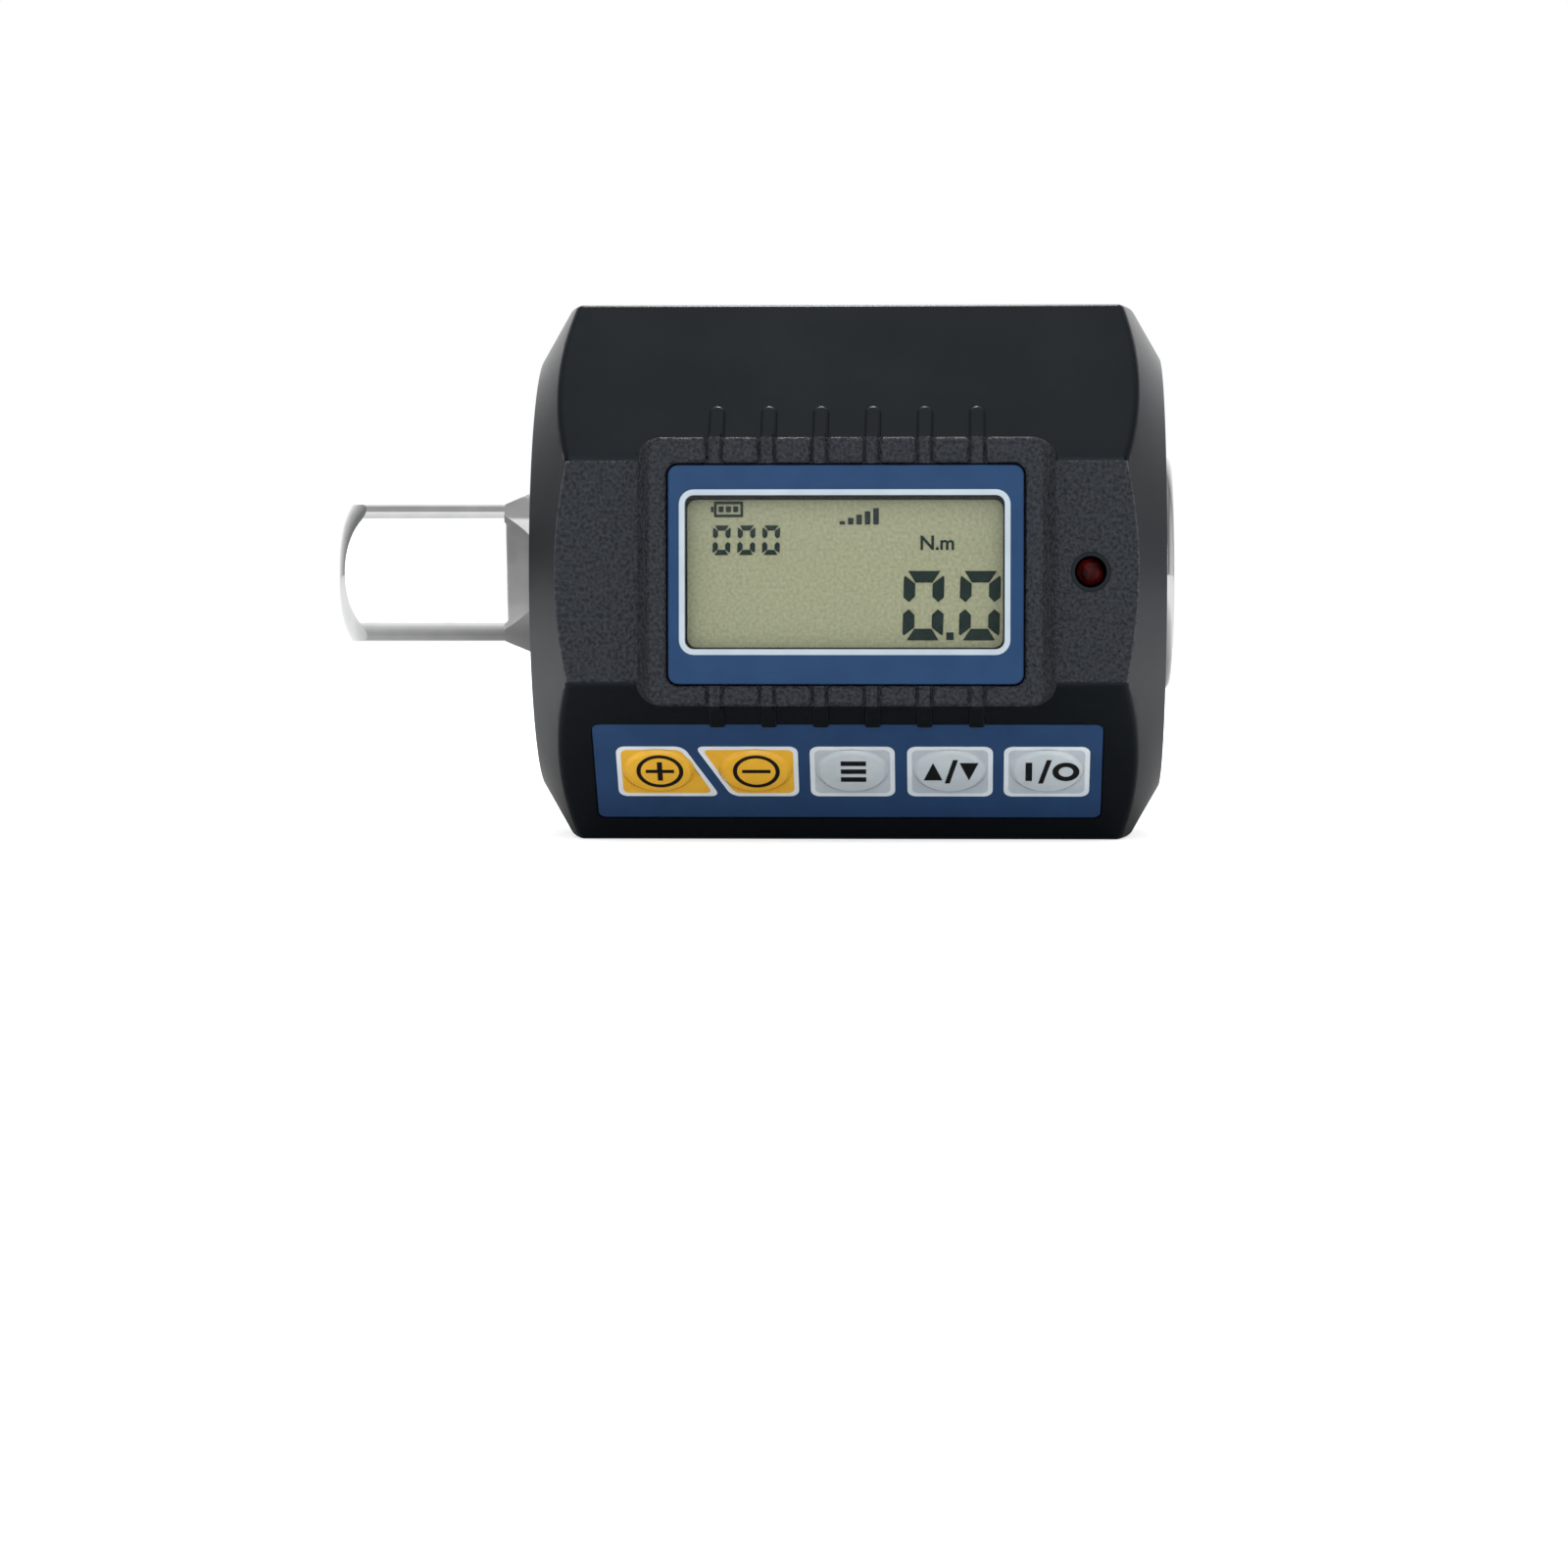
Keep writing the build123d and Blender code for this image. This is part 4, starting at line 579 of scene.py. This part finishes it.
def oval_of(shape, number, level, grow):
    """Adds the oval outline of a key's window, and returns its edges."""
    part = bmesh.new()
    across = (KEY_HALF_LENGTH + grow) * MM
    along = (KEY_HALF_WIDTH + grow) * MM
    middle = Vector((key_middle(number) * MM, KEY_CENTRE_UP * MM, level * MM))
    place = Matrix.Translation(middle) @ Matrix.Diagonal((across, along, 1, 1))
    bmesh.ops.create_circle(part, segments=OVAL_STEPS, radius=1, matrix=place)
    return adopted(shape, part)


# Ink behind polyester is an even blue, and the film gives it a low satin gloss.
blue_film = surfaced(
    "blue_printed_film", "#2b4870", "#29446b", grain=4.0, roughness=0.3, IOR=1.57, Specular_IOR_Level=0.15)
dressed(merged_copy("keypad_overlay", "printed_overlay"), blue_film, "casing", "overlay", "keypad_overlay")

FIELD_CORNERS = [
    [(-20.95, FIELD_LOW), (-11.7, FIELD_LOW), (-14.85, FIELD_HIGH), (-20.95, FIELD_HIGH)],
    [(-10.65, FIELD_LOW), (-4.5, FIELD_LOW), (-4.5, FIELD_HIGH), (-13.8, FIELD_HIGH)],
    corners_of(-3.43, 4.24, FIELD_LOW, FIELD_HIGH),
    corners_of(5.36, 13.1, FIELD_LOW, FIELD_HIGH),
    corners_of(14.1, 21.85, FIELD_LOW, FIELD_HIGH),
]


def shrunk(corners, by):
    """The corners of an outline moved inwards by an even border."""
    part = bmesh.new()
    face = part.faces.new([part.verts.new((x, y, 0)) for x, y in corners])
    face.normal_update()
    bmesh.ops.inset_region(part, faces=[face], thickness=by, use_boundary=True, use_even_offset=True)
    inner = [(v.co.x, v.co.y) for v in face.verts]
    part.free()
    return inner


# The inks of the fields are just as even, and share the film's gloss.
yellow_ink = surfaced(
    "amber_yellow_print", "#f2bb3a", "#ebb233", grain=2.0, roughness=0.3, IOR=1.57, Specular_IOR_Level=0.2)
grey_ink = surfaced(
    "pale_grey_print", "#c5ced4", "#bbc5cc", grain=2.0, roughness=0.3, IOR=1.57, Specular_IOR_Level=0.2)
border_ink = surfaced(
    "white_print", "#e9f0f5", "#e0e8ee", grain=2.0, roughness=0.3, IOR=1.57, Specular_IOR_Level=0.2)
for number, corners in enumerate(FIELD_CORNERS):
    inner = shrunk(corners, FIELD_LINE)
    lines = bmesh.new()
    edges = ring_of(lines, corners, FIELD_CORNER, OVERLAY_LEVEL)
    edges += ring_of(lines, inner, FIELD_CORNER - FIELD_LINE / 2, OVERLAY_LEVEL)
    filled(lines, edges, PRINT)
    dressed(piece_of(lines, f"field_line_{number + 1}", KEYPAD), border_ink, "casing", "overlay")
    field = bmesh.new()
    edges = ring_of(field, inner, FIELD_CORNER - FIELD_LINE / 2, OVERLAY_LEVEL)
    edges += oval_of(field, number, OVERLAY_LEVEL, WINDOW_GAP)
    filled(field, edges, PRINT)
    ink = yellow_ink if number < YELLOW_KEYS else grey_ink
    slot = "yellow_key" if number < YELLOW_KEYS else "white_key"
    dressed(piece_of(field, f"printed_field_{number + 1}", KEYPAD), ink, "casing", slot)


# Keys: five polycarbonate buttons, moulded with a flange, a stem and a soft oval pillow.
# Their tops carry plain signs in black ink, and they press a snap dome each.
FLANGE_LOW = 21.75
FLANGE_HIGH = 22.25
FLANGE_GROWTH = 1.2
PILLOW_RISE = 0.35
PILLOW_FLAT = 0.86
PILLOW_STEPS = 8
PILLOW_CREASE = 30
SPIN_STEPS = 64


def pillow_key(number):
    """A key's body: a profile spun about its axis and then drawn out to an oval."""
    shape = bmesh.new()
    profile = [
        (0, FLANGE_LOW), (FLANGE_GROWTH, FLANGE_LOW), (FLANGE_GROWTH, FLANGE_HIGH), (1, FLANGE_HIGH)]
    for i in range(PILLOW_STEPS + 1):
        radius = 1 - (1 - PILLOW_FLAT) * i / PILLOW_STEPS
        rise = PILLOW_RISE * (1 - cos(pi * i / PILLOW_STEPS)) / 2
        profile.append((radius, OVERLAY_LEVEL + rise))
    profile.append((0, OVERLAY_LEVEL + PILLOW_RISE))
    verts = [shape.verts.new((radius, 0, level * MM)) for radius, level in profile]
    edges = [shape.edges.new(pair) for pair in zip(verts, verts[1:])]
    bmesh.ops.spin(
        shape, geom=verts + edges, cent=(0, 0, 0), axis=(0, 0, 1), angle=2 * pi,
        steps=SPIN_STEPS, use_merge=True)
    bmesh.ops.remove_doubles(shape, verts=shape.verts, dist=TOUCHING)
    bmesh.ops.scale(shape, vec=(KEY_HALF_LENGTH * MM, KEY_HALF_WIDTH * MM, 1), verts=shape.verts)
    bmesh.ops.translate(shape, vec=(key_middle(number) * MM, KEY_CENTRE_UP * MM, 0), verts=shape.verts)
    creased(shape, PILLOW_CREASE)
    return shape


# A ring is given by its radius and line, a stroke by its length and width, and a triangle or a slash
# by the places of its corners along the overlay.
SIGN = 0.02
SIGN_LEVEL = OVERLAY_LEVEL + PILLOW_RISE
SIGN_UP = -0.75
RING_STEPS = 56
PLUS_X = -17.05
MINUS_X = -8.3
KEY_RING = (2.13, 0.38)
LYING_STROKE = (2.58, 0.42)
STANDING_STROKE = (0.46, 2.43)
MENU_X = 0.5
MENU_STROKE = (2.3, 0.6)
MENU_PITCH = 1.05
TRIANGLE_LOW = -1.9
TRIANGLE_HIGH = 0.4
UP_TRIANGLE = (6.85, 7.7, 8.55)
DOWN_TRIANGLE = (10.1, 10.95, 11.8)
SLASH_LOW = -2.3
SLASH_HIGH = 0.8
UNITS_SLASH = (8.75, 9.2, 9.95, 9.5)
POWER_SLASH = (17.2, 17.65, 18.4, 17.95)
ON_X = 16.35
ON_STROKE = (0.6, 2.4)
OFF_X = 19.7
OFF_RING = (1.22, 0.56)


def ring_sign(shape, x, radius, width):
    """Adds a thin round ring at the height of the signs' middle."""
    edges = []
    for size in (radius, radius - width):
        part = bmesh.new()
        place = Matrix.Translation((x * MM, SIGN_UP * MM, SIGN_LEVEL * MM))
        bmesh.ops.create_circle(part, segments=RING_STEPS, radius=size * MM, matrix=place)
        edges += adopted(shape, part)
    filled(shape, edges, SIGN)


def bar_sign(shape, x, y, length, width):
    """Adds a thin bar, centred on a point."""
    corners = corners_of(x - length / 2, x + length / 2, y - width / 2, y + width / 2)
    mark_plate(shape, corners, SIGN_LEVEL, SIGN)


def slash_sign(shape, places):
    """Adds a thin slanted stroke, from its lower left corner round to its upper left one."""
    heights = (SLASH_LOW, SLASH_LOW, SLASH_HIGH, SLASH_HIGH)
    mark_plate(shape, list(zip(places, heights)), SIGN_LEVEL, SIGN)


plus_sign = bmesh.new()
ring_sign(plus_sign, PLUS_X, *KEY_RING)
bar_sign(plus_sign, PLUS_X, SIGN_UP, *LYING_STROKE)
bar_sign(plus_sign, PLUS_X, SIGN_UP, *STANDING_STROKE)
minus_sign = bmesh.new()
ring_sign(minus_sign, MINUS_X, *KEY_RING)
bar_sign(minus_sign, MINUS_X, SIGN_UP, *LYING_STROKE)
menu_sign = bmesh.new()
for row in (-1, 0, 1):
    bar_sign(menu_sign, MENU_X, SIGN_UP + row * MENU_PITCH, *MENU_STROKE)
units_sign = bmesh.new()
left, tip, right = UP_TRIANGLE
triangle = [(left, TRIANGLE_LOW), (right, TRIANGLE_LOW), (tip, TRIANGLE_HIGH)]
mark_plate(units_sign, triangle, SIGN_LEVEL, SIGN)
left, tip, right = DOWN_TRIANGLE
triangle = [(left, TRIANGLE_HIGH), (tip, TRIANGLE_LOW), (right, TRIANGLE_HIGH)]
mark_plate(units_sign, triangle, SIGN_LEVEL, SIGN)
slash_sign(units_sign, UNITS_SLASH)
power_sign = bmesh.new()
bar_sign(power_sign, ON_X, SIGN_UP, *ON_STROKE)
slash_sign(power_sign, POWER_SLASH)
ring_sign(power_sign, OFF_X, *OFF_RING)
SIGNS = {
    "key_plus": plus_sign,
    "key_minus": minus_sign,
    "key_menu": menu_sign,
    "key_units": units_sign,
    "key_power": power_sign,
}

# Polycarbonate is dyed through and takes the mould's polish, so the pillows shine more than the film.
yellow_plastic = surfaced("amber_polycarbonate", "#f8bf3a", "#f1b632", grain=2.0, roughness=0.16, IOR=1.58)
grey_plastic = surfaced(
    "pale_grey_polycarbonate", "#ced7db", "#c6d0d5", grain=2.0, roughness=0.16, IOR=1.58)

# The ink of the signs is an even black, and dries half matt.
black_ink = surfaced("black_ink", "#0f1011", "#0b0c0d", grain=1.0, roughness=0.35, IOR=1.5)
for number, (node, sign) in enumerate(SIGNS.items()):
    plastic = yellow_plastic if number < YELLOW_KEYS else grey_plastic
    slot = "yellow_key" if number < YELLOW_KEYS else "white_key"
    dressed(piece_of(pillow_key(number), "pillow_" + node, KEYPAD), plastic, node, slot, node)
    dressed(piece_of(sign, "sign_of_" + node, KEYPAD), black_ink, node, slot)


# Under the keys: snap domes stuck to the keypad board, and a flat cable to the main board.
# The domes are stamped from nickel-plated spring steel, and the cable is copper between polyester films.
# Nickel plate is silvery, with a soft gloss.
nickel_plate = surfaced(
    "nickel_plated_steel", "#cfd0d0", "#c3c4c5", grain=0.5, roughness=0.28, Metallic=1.0)
dressed(merged_copy("snap_domes", "stamped_domes"), nickel_plate, "casing", "contact_metal", "snap_domes")

# The cable's films are white and satin.
cable_film = surfaced("white_polyester_cable", "#e4e6e6", "#d7dadb", grain=0.6, roughness=0.35, IOR=1.57)
dressed(merged_copy("keypad_cable", "flat_cable"), cable_film, "casing", "cable", "keypad_cable")


# Rear shell and battery door: black ABS from the same satin mould as the front half.
# The door slides in grooves of the shell and is gripped by its five cross grooves.
satin_abs = moulded_abs("black_abs_satin", False)
dressed(merged_copy("rear_shell", "moulded_rear_shell"), satin_abs, "casing", "housing", "rear_shell")
dressed(merged_copy("battery_door", "sliding_door"), satin_abs, "battery_door", "housing", "battery_door")


# Cells, contacts and leads: two steel-cased cells, each shrunk into a plain green and white sleeve.
# The contacts are stamped and bent from the same plated steel, and the leads are soldered wires in PVC.
CELL_PIP = 0.8
WHITE_SHARE = 0.3
SLEEVED_HALF = 0.49
WIRE_CREASE = 40


def sleeved_steel(name, minus_end, plus_end):
    """A smooth PVC sleeve, green with a white share at the plus end, and bright steel past its rims."""
    finish = surfaced(name, "#2f6f57", "#2a6650", grain=6.0, roughness=0.3, IOR=1.53)
    tree = finish.node_tree
    shader = next(node for node in tree.nodes if node.type == "BSDF_PRINCIPLED")
    green = shader.inputs["Base Color"].links[0].from_socket
    along = put(tree, "SeparateXYZ", {0: put(tree, "TexCoord").outputs["Object"]}).outputs["X"]
    share = put(tree, "MapRange", {0: along, 1: minus_end, 2: plus_end}, clamp=False).outputs[0]
    white = put(tree, "Math", {0: share, 1: 1 - WHITE_SHARE}, operation="GREATER_THAN").outputs[0]
    off_middle = put(tree, "Math", {0: share, 1: 0.5}, operation="SUBTRACT").outputs[0]
    distance = put(tree, "Math", {0: off_middle}, operation="ABSOLUTE").outputs[0]
    bare = put(tree, "Math", {0: distance, 1: SLEEVED_HALF}, operation="GREATER_THAN").outputs[0]
    sleeve = put(tree, "Mix", {0: white, 6: green, 7: linear("#dfe1dd")}, data_type="RGBA").outputs[2]
    tint = put(tree, "Mix", {0: bare, 6: sleeve, 7: linear("#c9cacb")}, data_type="RGBA").outputs[2]
    tree.links.new(tint, shader.inputs["Base Color"])
    tree.links.new(bare, shader.inputs["Metallic"])
    return finish


for node, plus_side in (("lower_cell", -1), ("upper_cell", 1)):
    low_end, high_end = (corner.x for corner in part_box(node))
    if plus_side < 0:
        sleeve = sleeved_steel("sleeve_of_" + node, high_end, low_end + CELL_PIP * MM)
    else:
        sleeve = sleeved_steel("sleeve_of_" + node, low_end, high_end - CELL_PIP * MM)
    dressed(merged_copy(node, "sleeved_" + node), sleeve, "casing", "cell_jacket", node)
for node in ("cell_strap", "plus_contact", "minus_contact"):
    dressed(merged_copy(node, "stamped_" + node), nickel_plate, "casing", "contact_metal", node)

# Extruded PVC is evenly coloured, with a soft gloss.
red_pvc = surfaced("red_pvc", "#b3231f", "#a51d1a", grain=1.0, roughness=0.4, IOR=1.53)
black_pvc = surfaced("black_pvc", "#1b1b1c", "#161617", grain=1.0, roughness=0.4, IOR=1.53)
red_lead = merged_copy("plus_lead", "red_lead", WIRE_CREASE)
dressed(red_lead, red_pvc, "casing", "red_wire", "plus_lead")
black_lead = merged_copy("minus_lead", "black_lead", WIRE_CREASE)
dressed(black_lead, black_pvc, "casing", "black_wire", "minus_lead")


# Screws: steel, cold-headed with a cross recess and plated with black zinc.
# Four clamp the shells, four hold the main board and four the keypad board.
def recessed(piece, head_radius, length, width, depth):
    """Cuts a cross recess into the four heads of a group of screws that point backwards."""
    shape = bmesh.new()
    shape.from_mesh(piece.data)
    low = Vector([min(v.co[i] for v in shape.verts) / MM for i in range(3)])
    high = Vector([max(v.co[i] for v in shape.verts) / MM for i in range(3)])
    shape.free()
    arm = [(width / 2, width / 2), (width / 2, length / 2), (-width / 2, length / 2)]
    cross = arm + [(-y, x) for x, y in arm] + [(-x, -y) for x, y in arm] + [(y, -x) for x, y in arm]
    cutters = bmesh.new()
    for x in (low.x + head_radius, high.x - head_radius):
        for z in (low.z + head_radius, high.z - head_radius):
            mark_plate(cutters, [(x + across, up - z) for across, up in cross], high.y - depth, 2 * depth)
    cutter = piece_of(cutters, "cross_recesses", Matrix.Rotation(radians(-90), 4, "X"))
    cut = piece.modifiers.new("cross recess", "BOOLEAN")
    cut.operation = "DIFFERENCE"
    cut.object = cutter
    mesh = bpy.data.meshes.new_from_object(piece.evaluated_get(bpy.context.evaluated_depsgraph_get()))
    piece.modifiers.remove(cut)
    bpy.data.objects.remove(cutter)
    shape = bmesh.new()
    shape.from_mesh(mesh)
    creased(shape, CREASE)
    shape.to_mesh(mesh)
    shape.free()
    piece.data = mesh


# Black zinc is a dark grey metal with a satin gloss.
zinc_black = surfaced("black_zinc", "#5d5e61", "#4c4d50", grain=0.4, roughness=0.35, Metallic=1.0)
shell_screws = merged_copy("shell_screws", "steel_shell_screws")
recessed(shell_screws, head_radius=2.2, length=2.6, width=0.55, depth=1.0)
board_screws = merged_copy("board_screws", "steel_board_screws")
recessed(board_screws, head_radius=1.7, length=2.0, width=0.45, depth=0.6)
keypad_screws = merged_copy("keypad_screws", "steel_keypad_screws")
dressed(shell_screws, zinc_black, "casing", "screws", "shell_screws")
dressed(board_screws, zinc_black, "casing", "screws", "board_screws")
dressed(keypad_screws, zinc_black, "casing", "screws", "keypad_screws")


# Studio: a pale floor under the housing's bottom flat, a white surround and soft panel lights.
# The camera stands where the photograph's stood, slightly to the right of the display and just below it.
# The studio's sizes and places are in metres, and the camera's lens and sensor in millimetres.
DISPLAY_MIDDLE = (DISPLAY_X, 0, 0)
RIM_LIGHT_X = -0.042
FLOOR_LEVEL = -24.52 * MM
FLOOR_MIDDLE = (DISPLAY_X, 0, FLOOR_LEVEL)
FLOOR_HALF = 1.5
FLOOR_GLOW = 0.6
FLOOR_WHITE_FROM = 0.1
FLOOR_WHITE_AT = 0.5
MIRROR_GLOW = 0.62
MIRROR_WHITE_FROM = 0.03
MIRROR_WHITE_AT = 0.09


def panel(name, width, height, power, place, target):
    """A soft rectangular light, turned towards a point."""
    lamp = bpy.data.lights.new(name, "AREA")
    lamp.shape = "RECTANGLE"
    lamp.size = width
    lamp.size_y = height
    lamp.energy = power
    light = added(name, lamp)
    light.location = place
    light.rotation_euler = (Vector(target) - Vector(place)).to_track_quat("-Z", "Y").to_euler()


def any_of(tree, first, second):
    """The greater of two outputs, so one where either of two light path outputs is one."""
    return put(tree, "Math", {0: first, 1: second}, operation="MAXIMUM").outputs[0]


# The floor is matt and keeps the object's shadow.
# It glows white further out for the camera, and from close by in reflections, where its glow fades out next
# to the housing and its grey is darker, as painted shade of the floor under the housing.
studio_floor = bmesh.new()
bmesh.ops.create_grid(studio_floor, x_segments=1, y_segments=1, size=FLOOR_HALF)
floor = piece_of(studio_floor, "studio_floor", Matrix.Translation(FLOOR_MIDDLE))
pale_floor = bpy.data.materials.new("pale_floor")
tree = bare_tree(pale_floor)
rays = put(tree, "LightPath").outputs
place = put(tree, "TexCoord").outputs["Object"]
away = put(tree, "VectorMath", {0: place, 1: FLOOR_MIDDLE}, operation="DISTANCE").outputs["Value"]
far = put(tree, "MapRange", {0: away, 1: FLOOR_WHITE_FROM, 2: FLOOR_WHITE_AT}).outputs[0]
camera_glow = put(tree, "MapRange", {0: far, 3: FLOOR_GLOW, 4: 1.0}).outputs[0]
# In reflections the glow is kept off the floor close to the housing, as painted shadow.
clear_of_shadow = put(
    tree, "MapRange", {0: away, 1: MIRROR_WHITE_FROM, 2: MIRROR_WHITE_AT, 4: MIRROR_GLOW}).outputs[0]
for_camera = put(tree, "Math", {0: rays["Is Camera Ray"], 1: camera_glow}, operation="MULTIPLY").outputs[0]
mirrored = any_of(tree, rays["Is Glossy Ray"], rays["Is Transmission Ray"])
for_mirrors = put(tree, "Math", {0: mirrored, 1: clear_of_shadow}, operation="MULTIPLY").outputs[0]
# In reflections the floor takes a darker grey, as painted shade.
shade = put(
    tree, "Mix", {0: rays["Is Glossy Ray"], 6: linear("#f0f0f0"), 7: linear("#8c8c8c")}, data_type="RGBA")
matt = put(tree, "BsdfDiffuse", {"Color": shade.outputs[2]})
glow = put(tree, "Emission", {"Strength": any_of(tree, for_camera, for_mirrors)})
both = put(tree, "AddShader", {0: matt.outputs[0], 1: glow.outputs[0]})
put(tree, "OutputMaterial", {"Surface": both.outputs[0]})
floor.data.materials.append(pale_floor)

# The surround is white to the camera. In reflections it is dim at the front,
# white at the back, dimmer at the left, and lifted a little overhead and at the right.
SURROUND_DIM = 0.2
BACK_FROM = 0.35
BACK_FULL = 0.98
TOP_FROM = 0.7
TOP_GLOW = 0.4
RIGHT_FROM = 0.7
RIGHT_GLOW = 0.65
LEFT_FULL = -0.9
LEFT_FROM = -0.3
LEFT_SHARE = 0.55
AMBIENT = 0.9

world = bpy.data.worlds.new("white_surround")
bpy.context.scene.world = world
tree = bare_tree(world)
rays = put(tree, "LightPath").outputs
way = put(tree, "SeparateXYZ", {0: put(tree, "TexCoord").outputs["Generated"]}).outputs
from_back = put(
    tree, "MapRange", {0: way["Y"], 1: BACK_FROM, 2: BACK_FULL, 3: SURROUND_DIM, 4: 1.0}).outputs[0]
from_top = put(
    tree, "MapRange", {0: way["Z"], 1: TOP_FROM, 2: 1.0, 3: SURROUND_DIM, 4: TOP_GLOW}).outputs[0]
from_right = put(
    tree, "MapRange", {0: way["X"], 1: RIGHT_FROM, 2: 1.0, 3: SURROUND_DIM, 4: RIGHT_GLOW}).outputs[0]
from_left = put(
    tree, "MapRange", {0: way["X"], 1: LEFT_FULL, 2: LEFT_FROM, 3: LEFT_SHARE, 4: 1.0}).outputs[0]
dimmed = put(tree, "Math", {0: from_back, 1: from_left}, operation="MULTIPLY").outputs[0]
around = any_of(tree, any_of(tree, dimmed, from_top), from_right)
mirrored = any_of(tree, rays["Is Glossy Ray"], rays["Is Transmission Ray"])
unseen = put(tree, "Mix", {0: mirrored, 2: AMBIENT, 3: around}, data_type="FLOAT").outputs[0]
strength = put(tree, "Mix", {0: rays["Is Camera Ray"], 2: unseen, 3: 1.0}, data_type="FLOAT").outputs[0]
surround = put(tree, "Background", {"Color": linear("#ffffff"), "Strength": strength})
put(tree, "OutputWorld", {"Surface": surround.outputs[0]})

panel("key_panel", width=1.0, height=0.8, power=1.5, place=(-0.14, -0.5, 0.5), target=DISPLAY_MIDDLE)
panel("front_panel", width=0.5, height=0.25, power=0.36, place=(0.02, -0.5, 0.13), target=DISPLAY_MIDDLE)
panel("drive_panel", width=0.24, height=0.4, power=0.45, place=(-0.3, -1.2, 0.0), target=DISPLAY_MIDDLE)
panel(
    "rim_panel", width=0.09, height=0.12, power=0.9,
    place=(RIM_LIGHT_X, 0.3, 0.5), target=(RIM_LIGHT_X, 0, 0))

FOCAL_LENGTH = 109.94
SENSOR_WIDTH = 36
NEAREST = 0.01
CAMERA_PLACE = (-0.01975, -0.45, -0.00167)
TURN_LEFT = 0.036455
TURN_DOWN = 0.040343
TILT = 0.000198

photo_camera = bpy.data.cameras.new("photo_camera")
photo_camera.lens = FOCAL_LENGTH
photo_camera.sensor_width = SENSOR_WIDTH
photo_camera.clip_start = NEAREST
camera = added("photo_camera", photo_camera)
aim = Matrix.Rotation(TURN_LEFT, 4, "Z") @ Matrix.Rotation(-TURN_DOWN, 4, "X")
forwards = Matrix.Rotation(TILT, 4, "Y") @ Matrix.Rotation(radians(90), 4, "X")
camera.matrix_world = Matrix.Translation(CAMERA_PLACE) @ aim @ forwards
bpy.context.scene.camera = camera
bpy.context.scene.view_settings.view_transform = "Standard"
